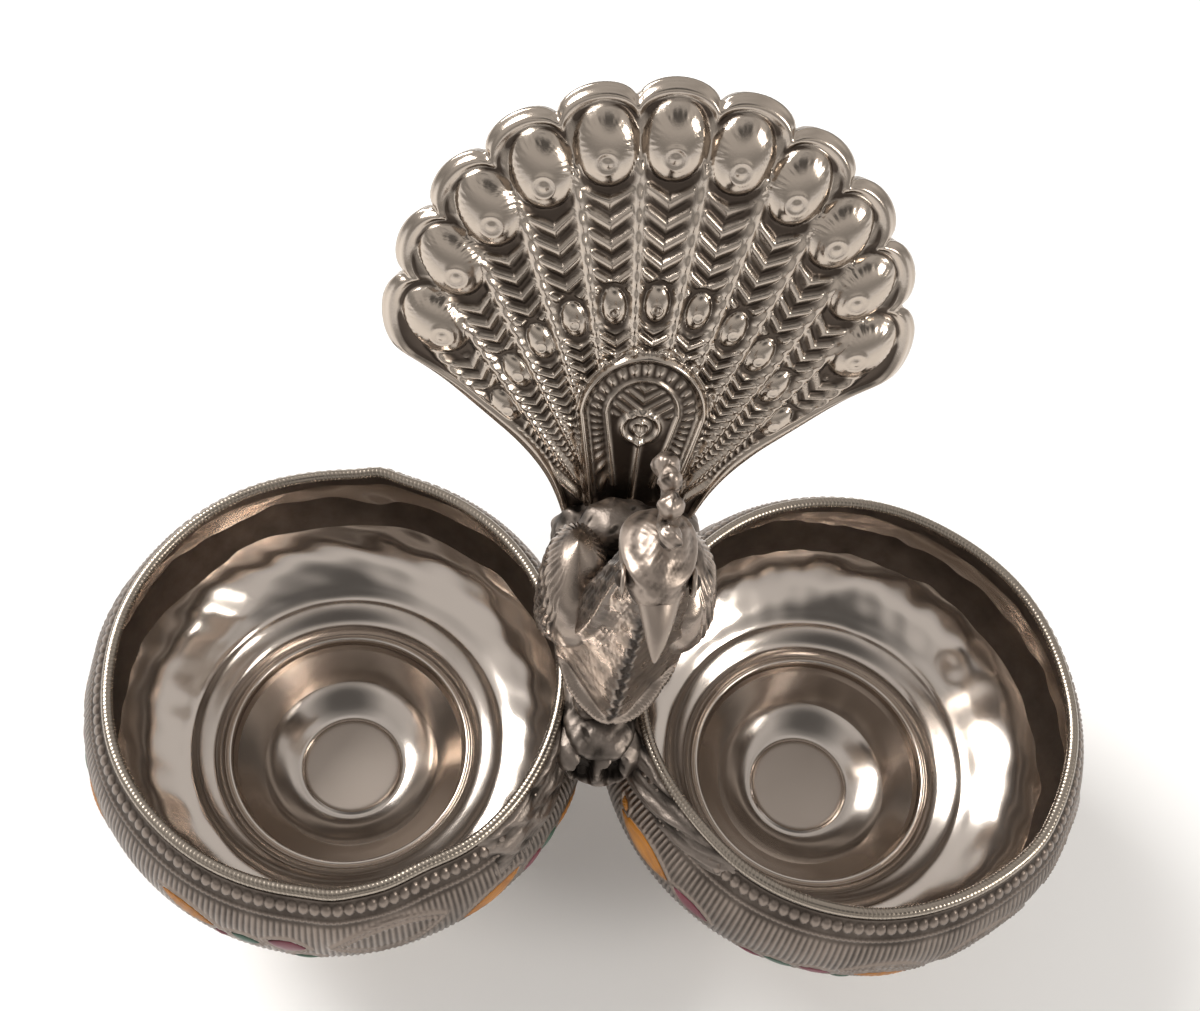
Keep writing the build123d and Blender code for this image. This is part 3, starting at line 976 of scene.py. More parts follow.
@dataclass
class Tail:
    """Stamped peacock tail: a front sheet in full relief, and a plain sheet behind it.

    The tail is drawn on a flat leaning plane with x across and y up from its root, and laid on a ball.
    """

    pivot: Place = (0.0, 7.7, 66.4)
    root_lean: float = 15.0
    mean_lean: float = 25.4
    ball: float = 126.0
    lobes: int = 11
    lobe_step: float = 17.4
    lobe_centre: float = 20.0
    lobe_tip: float = 25.0
    lobe_valley: float = 23.4
    lobe_fullness: float = 0.93
    last_angle: float = 99.0
    flank: Sequence[tuple[float, float]] = ((19.2, 14.2), (15.0, 10.6), (11.4, 7.4), (8.6, 3.6), (6.9, -0.6))
    stem_bottom: float = -5.0
    stem_half: float = 5.8
    front_back: float = -0.68
    rear_front: float = -0.72
    rear_back: float = -1.38
    rear_shrink: float = 0.992
    back_shares: Sequence[float] = (0.995, 0.97, 0.9, 0.75, 0.5, 0.25, 0.0)
    boss_circle: float = 19.8
    boss_half: tuple[float, float] = (2.8, 3.6)
    boss_height: float = 1.65
    small_place: float = 0.655
    small_half: tuple[float, float] = (1.18, 1.9)
    small_height: float = 0.72
    dent_half: tuple[float, float] = (2.9, 3.4)
    dent_height: float = 0.35
    mark_height: float = 0.52
    mark_slope: float = 0.72
    mark_count: float = 18.0
    ridge_height: float = 0.70
    puff_height: float = 0.45
    hem_height: float = 0.42
    feather_origin: float = -4.2
    feather_step: float = 7.7
    drop_half: float = 6.2
    drop_middle: float = 12.4
    drop_top: float = 19.4
    drop_border: float = 0.85
    ring_place: float = 10.7
    ring_radius: float = 1.75

    def on_lobes(self, radius: float | Array, angle: Array) -> tuple[Array, Array]:
        """Point at a radius and an angle in degrees from straight up, about the lobes' common centre."""
        a = np.radians(angle)
        return radius * np.sin(a), self.lobe_centre + radius * np.cos(a)

    def outline(self) -> tuple[Array, Array]:
        """The right half of the tail's edge.

        Each lobe is an arc that rises from its valleys to its tip as a root of one less a square; below
        the last lobes the edge follows the flank's smoothed corners and the stem.

        Returns:
            Angle about the lobes' centre in degrees, and distance from it.
        """
        half = []
        bounds = [(k + 0.5) * self.lobe_step for k in range(self.lobes // 2)] + [self.last_angle]
        edges = [-bounds[0]] + bounds
        floor = math.sqrt(1.0 - self.lobe_fullness)
        for number, (low, high) in enumerate(zip(edges[:-1], edges[1:])):
            tip = number * self.lobe_step
            t = np.linspace(0.0 if number == 0 else low, high, 14)
            span = np.where(t < tip, tip - low, high - tip)
            sag = np.sqrt(np.clip(1.0 - self.lobe_fullness * ((t - tip) / span) ** 2, 0.0, 1.0))
            radius = self.lobe_valley + (self.lobe_tip - self.lobe_valley) * (sag - floor) / (1.0 - floor)
            half.append(np.stack(self.on_lobes(radius, t), axis=1))
        corner = half[-1][-1]
        flank = smooth_path([tuple(corner), *self.flank, (self.stem_half, self.stem_bottom)], spacing=0.5)
        line = np.vstack([*half, flank[1:], [[0.01, self.stem_bottom]]])
        angle = np.degrees(np.arctan2(line[:, 0], line[:, 1] - self.lobe_centre))
        return angle, np.hypot(line[:, 0], line[:, 1] - self.lobe_centre)

    def boss_reach(self, number: Array) -> Array:
        """How far up a feather its large dome stands, on a circle about the lobes' centre.

        Args:
            number: number of the feather, 0 in the middle.

        Returns:
            Distance from the feathers' origin.
        """
        a = np.radians(number * self.feather_step)
        rise = self.lobe_centre - self.feather_origin
        return rise * np.cos(a) + np.sqrt(np.maximum(self.boss_circle**2 - (rise * np.sin(a)) ** 2, 0.0))

    def on_ball(self, x: Array, y: Array, height: Array) -> Array:
        """Lay flat points on the ball along the plane's normal, then lift them along its radius.

        Args:
            x: distance across.
            y: distance up from the root.
            height: height over the ball.

        Returns:
            Grid of points.
        """
        lean, root = math.radians(self.mean_lean), math.radians(self.root_lean)
        up = np.array([0.0, math.sin(lean), math.cos(lean)])
        out = np.array([0.0, -math.cos(lean), math.sin(lean)])
        pivot = np.array(self.pivot)
        centre = pivot + self.ball * np.array([0.0, math.cos(root), -math.sin(root)])
        flat = pivot + x[..., None] * np.array([1.0, 0.0, 0.0]) + y[..., None] * up - centre
        along = flat @ out
        slide = -along + np.sqrt(along**2 - np.sum(flat**2, axis=-1) + self.ball**2)
        point = flat + slide[..., None] * out
        point /= np.linalg.norm(point, axis=-1, keepdims=True)
        return centre + point * (self.ball + height)[..., None]

    def feather(self, x: Array, y: Array) -> tuple[Array, Array, Array, Array]:
        """Number of the feather at a point, share across it, distance up it and distance from its middle.

        Args:
            x: distance across, flat.
            y: distance up, flat.

        Returns:
            The four values in that order.
        """
        away = np.hypot(x, y - self.feather_origin)
        turn = np.degrees(np.arctan2(x, y - self.feather_origin)) / self.feather_step
        last = (self.lobes - 1) / 2
        number = np.clip(np.round(turn), -last, last)
        side = turn - number
        return number, side, away, away * np.sin(np.radians(side * self.feather_step))

    def relief(self, x: Array, y: Array, edge: Array) -> tuple[Array, Array]:
        """Height of the stamped relief, and a 0 to 1 value that is low in grooves and high on ridges.

        On each feather, from its tip down: a large oval dome with ticks over its top and a small ringed
        eye, V marks whose spacing shrinks towards the root, a small oval eye, and finer V marks. Rounded
        ridges part the feathers. The drop in the middle and the hem along the edge are laid over them.

        Args:
            x: distance across, flat.
            y: distance up, flat.
            edge: distance in from the tail's edge.

        Returns:
            Height in millimetres and the ridge value.
        """
        number, side, away, across = self.feather(x, y)
        boss = self.boss_reach(number)
        wide = np.abs(side) * 2.0
        gap = away * math.tan(math.radians(self.feather_step / 2)) * (1.0 - wide)
        oval = np.hypot(across / self.boss_half[0], (away - boss) / self.boss_half[1])
        on_dome = ramp(-oval, -1.05, -0.9)
        ring = np.hypot(across, away - boss + 1.25)
        eye_mark = 0.10 * bump(ring - 1.0, 0.16) + 0.05 * bump(ring, 0.3) - 0.05 * bump(ring - 0.55, 0.2)
        tick_angle = np.arctan2(across, away - boss)
        ticks = 0.05 * np.cos(tick_angle * 26.0) * bump(oval - 0.72, 0.16) * (away > boss - 0.6)
        moat = -0.32 * bump(oval - 1.13, 0.10)
        eye_place = self.small_place * boss
        small = np.hypot(across / self.small_half[0], (away - eye_place) / self.small_half[1])
        small_dome = self.small_height * half_round(small) - 0.16 * bump(small - 1.25, 0.16)
        small_ring = 0.10 * bump(np.hypot(across, away - eye_place + 0.35) - 0.5, 0.13)
        start = np.maximum(away - self.mark_slope * np.abs(across), 1.0)
        phase = np.log(start / 44.0) * self.mark_count
        tooth = phase - np.floor(phase)
        wave = ramp(tooth, 0.0, 0.62) * (1.0 - ramp(tooth, 0.70, 1.0))
        clear = ramp(oval, 1.08, 1.3) * ramp(small, 1.2, 1.5) * ramp(-wide, -0.90, -0.74) * (away < boss)
        marks = self.mark_height * wave * clear * ramp(away, 5.0, 24.0) + 0.06 * clear
        knobs = 1.0 + 0.12 * np.cos(phase * FULL_TURN)
        ridge = self.ridge_height * knobs * bump(gap, 0.34 + 0.009 * away)
        ridge = ridge * ramp(-away, -boss - 0.4, -boss + 2.4)
        puff = (1.0 - wide**2) * ramp(away, boss - 4.5, boss + 0.5) * ramp(edge, 0.7, 2.2) * self.puff_height
        height = self.boss_height * half_round(oval) + puff * (1.0 - on_dome)
        height = np.maximum(height, marks) + on_dome * (eye_mark + ticks) + moat * ramp(edge, 0.9, 1.6)
        height = np.maximum(height, small_dome + small_ring * (small < 1.0))
        height = np.maximum(height, ridge)
        value = 0.16 + 0.42 * wave * clear + 0.62 * on_dome + 0.7 * bump(gap, 0.45) + 0.55 * (small < 1.0)
        value = value - 0.2 * bump(oval - 1.13, 0.12) - 0.36 * on_dome * bump(ring - 0.55, 0.25) + 0.45 * puff
        height, value = self.lay_drop(x, y, height, value)
        lip = ramp(-edge, -1.9, -1.4)
        hem = self.hem_height * bump(edge - 1.0, 0.62) + 0.12 * bump(edge - 0.2, 0.16)
        slope = -0.35 * ramp(-edge, -0.9, 0.0)
        height = height * (1.0 - lip) + hem + slope
        value = value * (1.0 - lip) + lip * 0.66 - 0.28 * bump(edge - 1.85, 0.22)
        return height, value + 0.3 * bump(edge - 0.9, 0.4)

    def lay_drop(self, x: Array, y: Array, height: Array, value: Array) -> tuple[Array, Array]:
        """Lay the drop over the feathers.

        Its top is half an ellipse and its sides draw in below it. Inside a raised border there are short
        ticks that point at a small ring with a bar, and V marks above the ring.

        Args:
            x: distance across, flat.
            y: distance up, flat.
            height: height of the feathers.
            value: ridge value of the feathers.

        Returns:
            Height and ridge value with the drop in place.
        """
        tall = self.drop_top - self.drop_middle
        upper = (1.0 - np.hypot(x / self.drop_half, (y - self.drop_middle) / tall)) * 6.1
        lower = self.drop_half - 0.17 * (self.drop_middle - y) - np.abs(x)
        inside = np.where(y > self.drop_middle, upper, lower)
        ring = np.hypot(x, y - self.ring_place)
        turn = np.arctan2(x, y - self.ring_place)
        ticks = 0.24 * (0.5 + 0.5 * np.cos(turn * 34.0)) * bump(inside - 1.75, 0.5) * (y > 1.0)
        border = self.drop_border * bump(inside - 0.42, 0.42)
        inner = 0.30 * bump(inside - 2.75, 0.22) * (y > 3.0)
        circle = 0.42 * bump(ring - self.ring_radius, 0.3) + 0.25 * bump(ring - 0.75, 0.22)
        bar = 0.34 * bump(x, 0.28) * ramp(y, 0.8, 1.6)
        bar = bar * ramp(-y, -self.ring_place - 1.2, -self.ring_place - 0.8)
        above = 0.22 * (0.5 + 0.5 * np.cos((y - 0.8 * np.abs(x)) * FULL_TURN / 1.25))
        above = above * ramp(y, 11.6, 12.2) * ramp(inside, 3.0, 3.4)
        drop = -0.12 + ticks + border + inner + circle + bar + above
        share = ramp(inside, -0.25, 0.05)
        ridge = 0.20 + 1.0 * border + 2.1 * ticks + 1.6 * inner + 1.5 * circle + 1.6 * bar + 1.8 * above
        moat = -0.25 * bump(inside + 0.5, 0.25)
        return height * (1.0 - share) + drop * share + moat, value * (1.0 - share) + ridge * share

    def back_relief(self, x: Array, y: Array, edge: Array) -> tuple[Array, Array]:
        """Height of the plain sheet behind, with shallow dents where the domes were struck.

        Args:
            x: distance across, flat.
            y: distance up, flat.
            edge: distance in from the tail's edge.

        Returns:
            Height in millimetres and the ridge value.
        """
        number, side, away, across = self.feather(x, y)
        boss = self.boss_reach(number)
        oval = np.hypot(across / self.dent_half[0], (away - boss) / self.dent_half[1])
        dent = self.dent_height * half_round(oval)
        ridge = 0.12 * bump(np.abs(side) - 0.5, 0.1) * (away < boss) * (away > 14.0)
        return self.rear_back + dent + ridge - 0.25 * bump(edge - 0.5, 0.5), 0.62 - 0.8 * dent

    def sheet(self, name: str, columns: int, rows: int, low: float, shrink: float,
              field: Callable[[Array, Array, Array], tuple[Array, Array]]) -> bpy.types.Object:
        """Closed sheet whose one face follows a height field and whose other lies at a constant height.

        The grid is polar about the lobes' centre: angle along its columns, and share of the way out to the
        edge along its rows, first over the worked face and then back over the other.

        Args:
            name: name of the piece.
            columns: number of angles.
            rows: number of rows over the worked face.
            low: height of the other face.
            shrink: share of the outline's size.
            field: height and ridge value from x, y and the distance in from the edge.

        Returns:
            The sheet.
        """
        angles, radii = self.outline()
        angle = np.linspace(-180.0, 180.0, columns, endpoint=False)
        reach = np.interp(np.abs(angle), angles, radii) * shrink
        share = np.concatenate([np.linspace(0.0, 1.0, rows), self.back_shares])[:, None]
        x, y = self.on_lobes(share * reach, angle)
        height, value = field(x, y, (1.0 - share) * reach)
        behind = np.arange(len(share))[:, None] >= rows
        grid = self.on_ball(x, y, np.where(behind, low, height))
        return make_piece(name, grid, poles=True, relief=np.where(behind, 0.4, value))

    def build(self) -> None:
        """Make and dress both sheets."""
        front = self.sheet("tail_fan_front", 600, 154, self.front_back, 1.0, self.relief)
        dress(front, STAMPED, "stamped_silver", "tail_front")
        back = self.sheet("tail_fan_back", 440, 70, self.rear_front, self.rear_shrink, self.back_relief)
        dress(back, PLAIN_BACK, "stamped_silver", "tail_back")


# Bird

@dataclass
class Bird:
    """Cast peacock: body and neck with a keel seam, folded wings, head, beak, eyes and crest.

    A station is a level oval: how far back its middle stands, its height, and its half width and half depth.
    """

    stations: Sequence[Station] = (
        (0.4, 43.2, 3.3, 4.4), (0.0, 45.4, 4.1, 6.0), (-1.0, 49.0, 5.5, 8.3), (-1.2, 55.5, 6.5, 8.6),
        (-1.9, 61.0, 6.2, 7.8), (-3.9, 66.5, 5.3, 5.8), (-5.8, 73.0, 4.4, 4.3), (-7.2, 80.0, 3.8, 3.4),
        (-8.4, 86.0, 3.3, 3.0), (-9.4, 90.0, 2.8, 2.8),
    )
    shield_tip: float = 50.4
    shield_corner: float = 56.2
    shield_half: float = 6.1
    shield_ridge: float = 0.42
    shield_hollow: float = 0.95
    under_shield: float = 1.6
    seam_depth: float = 0.40
    wing_spread: float = 5.3
    wing_stations: Sequence[Station] = (
        (3.6, 43.6, 0.1, 0.2), (3.6, 45.2, 2.2, 1.9), (3.2, 49.0, 3.1, 3.2), (2.0, 55.0, 3.3, 4.4),
        (-0.2, 61.0, 3.4, 5.6), (-1.2, 66.4, 3.5, 6.3), (-0.2, 70.2, 2.5, 4.0), (0.8, 71.8, 0.1, 0.2),
    )
    wing_lines: float = 34.0
    wing_full: float = 3.6
    feather_height: float = 0.17
    scale_height: float = 0.13
    head: Place = (-0.2, -10.0, 90.6)
    head_radii: Place = (3.45, 4.5, 3.5)
    beak_radius: float = 2.0
    eye_place: Place = (3.0, -12.0, 91.2)
    eye_radii: Place = (0.5, 0.72, 0.72)
    lid_radius: float = 1.05
    lid_thick: float = 0.22
    crest_root: Place = (0.0, -7.9, 92.6)
    plumes: int = 5
    plume_length: float = 5.2
    plume_radius: float = 0.55
    bead_radii: Place = (1.0, 1.05, 1.2)

    def ovals(self, stations: Sequence[Station], columns: int, spacing: float,
              middle: float) -> tuple[Array, Array]:
        """Grid over a stack of level ovals.

        Args:
            stations: the ovals from the lowest up.
            columns: number of points round each.
            spacing: distance between the rows.
            middle: x of their middles.

        Returns:
            Grid of points, and the smoothed stations with one row for each row of the grid.
        """
        line = smooth_path(stations, spacing=spacing)
        turn = around_once(columns)[None, :]
        x = middle + line[:, 2:3] * np.sin(turn)
        y = line[:, 0:1] - line[:, 3:4] * np.cos(turn)
        return stacked(x, y, line[:, 1:2]), line

    def trunk(self) -> bpy.types.Object:
        """Body and neck.

        A stack of ovals is pushed in and out along its normals: in below the shield's edge, which rises as
        a power of the distance from the middle; in over the two hollow panels of the shield; out along the
        shield's edges and the ridges that run on up the neck; and in along the rough seam down the keel.

        Returns:
            The body and neck.
        """
        columns = 260
        grid, _ = self.ovals(self.stations, columns, 0.28, 0.0)
        x, z = grid[..., 0], grid[..., 2]
        turn = around_once(columns)[None, :]
        front = ramp(np.cos(turn), -0.1, 0.3)
        share = np.clip(np.abs(x) / self.shield_half, 0.0, 1.0)
        edge = self.shield_tip + (self.shield_corner - self.shield_tip) * share**1.5
        below = ramp(edge - z, 0.0, 1.1) * front
        bent = np.abs(wrapped(turn))
        ridge_place = 1.24 - 0.12 * ramp(z, 62.0, 70.0)
        rim_low = bump(z - edge - 0.2, 0.32) * front
        rim_high = bump(bent - ridge_place, 0.075) * ramp(z, 53.6, 56.4) * ramp(-z, -91.0, -84.0)
        inside = ramp(z - edge, 0.2, 1.0) * ramp(ridge_place - bent, 0.02, 0.22) * ramp(-z, -84.0, -74.0)
        hollow = inside * np.sin(np.clip(bent / ridge_place, 0.0, 1.0) * math.pi)
        flank = ramp(bent, ridge_place + 0.05, ridge_place + 0.3) * ramp(z, 62.0, 67.0)
        wander = 0.16 * np.sin(z * 2.3) + 0.10 * np.sin(z * 5.1 + 1.0)
        seam = bump(x - wander, 0.30) * front * ramp(z, 50.0, 51.5) * ramp(-z, -84.0, -72.0)
        rough = lumps(grid, 2.4, 5)
        swell = lumps(grid, 8.0, 8, 2)
        lift = self.shield_ridge * np.maximum(rim_low, rim_high) - self.shield_hollow * hollow
        lift = lift - self.under_shield * below - self.seam_depth * seam * (1.0 + 0.5 * rough)
        lift = lift + 0.05 * swell * (1.0 - below) + (0.02 + 0.08 * flank) * rough
        grid = grid - normals_of(grid) * (lift * ramp(z, 43.2, 44.4))[..., None]
        # The band under the shield's edge gets a much lower value: painted shadow under the shield.
        value = 0.56 + 0.5 * rim_low + 0.45 * rim_high - 0.8 * seam - 0.7 * below
        value = value + 0.10 * swell - 0.05 * hollow - 0.30 * flank + (0.04 + 0.25 * flank) * rough
        return make_piece("body_and_neck", grid, poles=True, relief=value)

    def wing(self, side: Side) -> bpy.types.Object:
        """Folded wing: a long leaf with a smooth shoulder in front and feather lines round its outer side.

        The lines are a cosine of the angle round the wing, bent by a slow irregular field and by the height
        so that they sweep back, and they break up into small scales towards the wing's lower end. One
        jagged groove crosses the shoulder.

        Args:
            side: which wing.

        Returns:
            The wing.
        """
        columns = 300
        grid, line = self.ovals(self.wing_stations, columns, 0.2, side.value * self.wing_spread)
        z = grid[..., 2]
        turn = around_once(columns)[None, :] * side.value
        outer = np.sin(turn)
        slow = lumps(grid, 6.0, 21 + side.value, 2)
        rough = lumps(grid, 1.9, 25 + side.value)
        lines = np.cos(turn * self.wing_lines + 0.55 * (z - 56.0) + 1.5 * slow)
        scales = np.cos(turn * self.wing_lines / 2 + 0.8 * slow) * np.cos((z - 0.8 * outer) * 5.2)
        low = ramp(-z, -54.0, -49.5)
        rear = ramp(-np.cos(turn), -0.1, 0.3)
        ribbed = np.maximum(ramp(outer, 0.45, 0.75), np.maximum(low, rear))
        size = np.clip(line[:, 2:3] / self.wing_full, 0.0, 1.0) ** 2
        feathers = self.feather_height * lines * (1.0 - low)
        feathers = feathers + low * (self.scale_height * scales + 0.12 * rough)
        groove = bump(z - 57.3 - 1.5 * outer - 0.35 * np.sin(outer * 14.0), 0.20)
        groove = groove * (1.0 - ribbed) * ramp(outer, -0.9, -0.6)
        edge = bump(z - 69.0, 0.8) * 0.15
        lift = size * ribbed * feathers - 0.22 * groove + edge + 0.03 * slow
        lift = lift * ramp(z, 44.2, 45.6) * ramp(-z, -71.0, -69.8)
        value = 0.60 + 1.6 * lift - 0.10 * ribbed + 0.10 * rough * ribbed - 0.5 * groove + 0.05 * slow
        grid = grid - normals_of(grid) * lift[..., None]
        return make_piece(f"{side.word}_folded_wing", grid, poles=True, relief=value)

    def head_piece(self) -> bpy.types.Object:
        """Head: an oval ball with a brow ridge over each eye, a cheek dent and an irregular cast skin.

        Returns:
            The head.
        """
        grid = ellipsoid(self.head, self.head_radii, 72, 110)
        out = (grid - np.array(self.head)) / np.array(self.head_radii)
        across, ahead, above = np.abs(out[..., 0]), out[..., 1], out[..., 2]
        brow = bump(above - 0.42 + 0.25 * ahead, 0.13) * bump(across - 0.72, 0.3)
        cheek = bump(above + 0.25, 0.22) * bump(across - 0.85, 0.2) * (ahead < 0.3)
        rough = lumps(grid, 3.0, 31)
        lift = 0.38 * brow - 0.26 * cheek + 0.05 * rough
        grid[..., 0] = self.head[0] + (grid[..., 0] - self.head[0]) * (0.92 + 0.14 * ahead)
        grid = grid + out / np.linalg.norm(out, axis=2, keepdims=True) * lift[..., None]
        relief = 0.55 + 0.5 * brow - 0.6 * cheek + 0.2 * rough
        return make_piece("head_skull", grid, poles=True, relief=relief)

    def beak(self) -> bpy.types.Object:
        """Beak: two tapered tubes that curve down to a point, the lower one shorter.

        Returns:
            The beak.
        """
        parts = []
        for name, drop, length, thick in (("upper", 0.35, 1.0, 1.0), ("lower", -0.75, 0.8, 0.75)):
            keys = [(0.0, -12.2, 89.9 + drop), (0.0, -14.2, 89.5 + drop), (0.0, -16.0, 88.5 + 0.8 * drop),
                    (0.0, -17.6 * length - 12.2 * (1 - length), 87.0 + 0.4 * drop)]
            path = smooth_path(keys, spacing=0.2)
            share = np.linspace(0.0, 1.0, len(path))
            radius = thick * (self.beak_radius * (1.0 - share) ** 0.8 + 0.05)
            radius[0] = 0.02
            grid = tube(path, radius, 20, (0.0, 0.3, 1.0))
            parts.append(make_piece(f"beak_{name}", grid, poles=True, relief=0.7))
        return join_pieces("head_beak", parts)

    def eyes(self) -> bpy.types.Object:
        """Eyes: a small ball on each side of the head inside a raised lid ring.

        Returns:
            The eyes.
        """
        parts = []
        for side in Side:
            away, y, z = self.eye_place
            x = self.head[0] + side.value * away
            ball = ellipsoid((x, y, z), self.eye_radii, 14, 20)
            parts.append(make_piece("eye", ball, poles=True, relief=0.1))
            turn, around = around_once(40)[:, None], around_once(10)[None, :]
            wide = self.lid_radius + self.lid_thick * np.cos(around)
            out = side.value * (self.lid_thick * np.sin(around) - 0.12)
            ring = stacked(x + out, y + wide * np.cos(turn), z + wide * np.sin(turn))
            parts.append(make_piece("lid", ring, along=True, relief=0.8))
        return join_pieces("head_eyes", parts)

    def crest(self) -> bpy.types.Object:
        """Crest: a row of chunky plumes in the middle plane, each a curved stalk with a dented bead.

        Returns:
            The crest.
        """
        parts = []
        root = np.array(self.crest_root)
        middle = (self.plumes - 1) / 2
        for number in range(self.plumes):
            lean = math.radians(18.0 + (number - middle) * 27.0)
            tip = root + self.plume_length * np.array([0.0, math.sin(lean), math.cos(lean)])
            bend = root + self.plume_length / 2 * np.array(
                [0.06 * (number - middle), math.sin(lean * 0.7), math.cos(lean * 0.7)]
            )
            path = smooth_path([tuple(root), tuple(bend), tuple(tip)])
            radius = np.full(len(path), self.plume_radius)
            radius[0] = radius[-1] = 0.02
            parts.append(make_piece("stalk", tube(path, radius, 12, (1.0, 0.0, 0.0)), poles=True, relief=0.4))
            bead = ellipsoid(tip, self.bead_radii, 18, 24)
            bead = bead + 0.10 * lumps(bead, 2.2, 40 + number)[..., None] * (bead - tip)
            parts.append(make_piece("bead", bead, poles=True, relief=0.65 + 0.3 * lumps(bead, 2.2, 50)))
        return join_pieces("crest_plumes", parts)

    def build(self) -> None:
        """Make and dress the bird."""
        dress(self.trunk(), CAST, "cast_silver", "left_body_half", "right_body_half")
        for side in Side:
            dress(self.wing(side), CAST, "cast_silver", f"{side.word}_wing")
        for piece in (self.head_piece(), self.beak(), self.eyes()):
            dress(piece, SKULL, "cast_silver")
        dress(self.crest(), SKULL, "cast_silver", "head_crest")


# Solder

@dataclass(frozen=True)
class Blob:
    """A lumpy block of solder: where and how big it is, how square and rough, and what it replaces."""

    name: str
    centre: Place
    radii: Place
    square: float
    rough: float
    seed: int
    grid: tuple[int, int] = (90, 120)
    node: str = ""


@dataclass(frozen=True)
class Pocket:
    """A hollow in the web, painted dark as shade: its x, its height and half its size."""

    x: float
    z: float
    half_wide: float
    half_tall: float


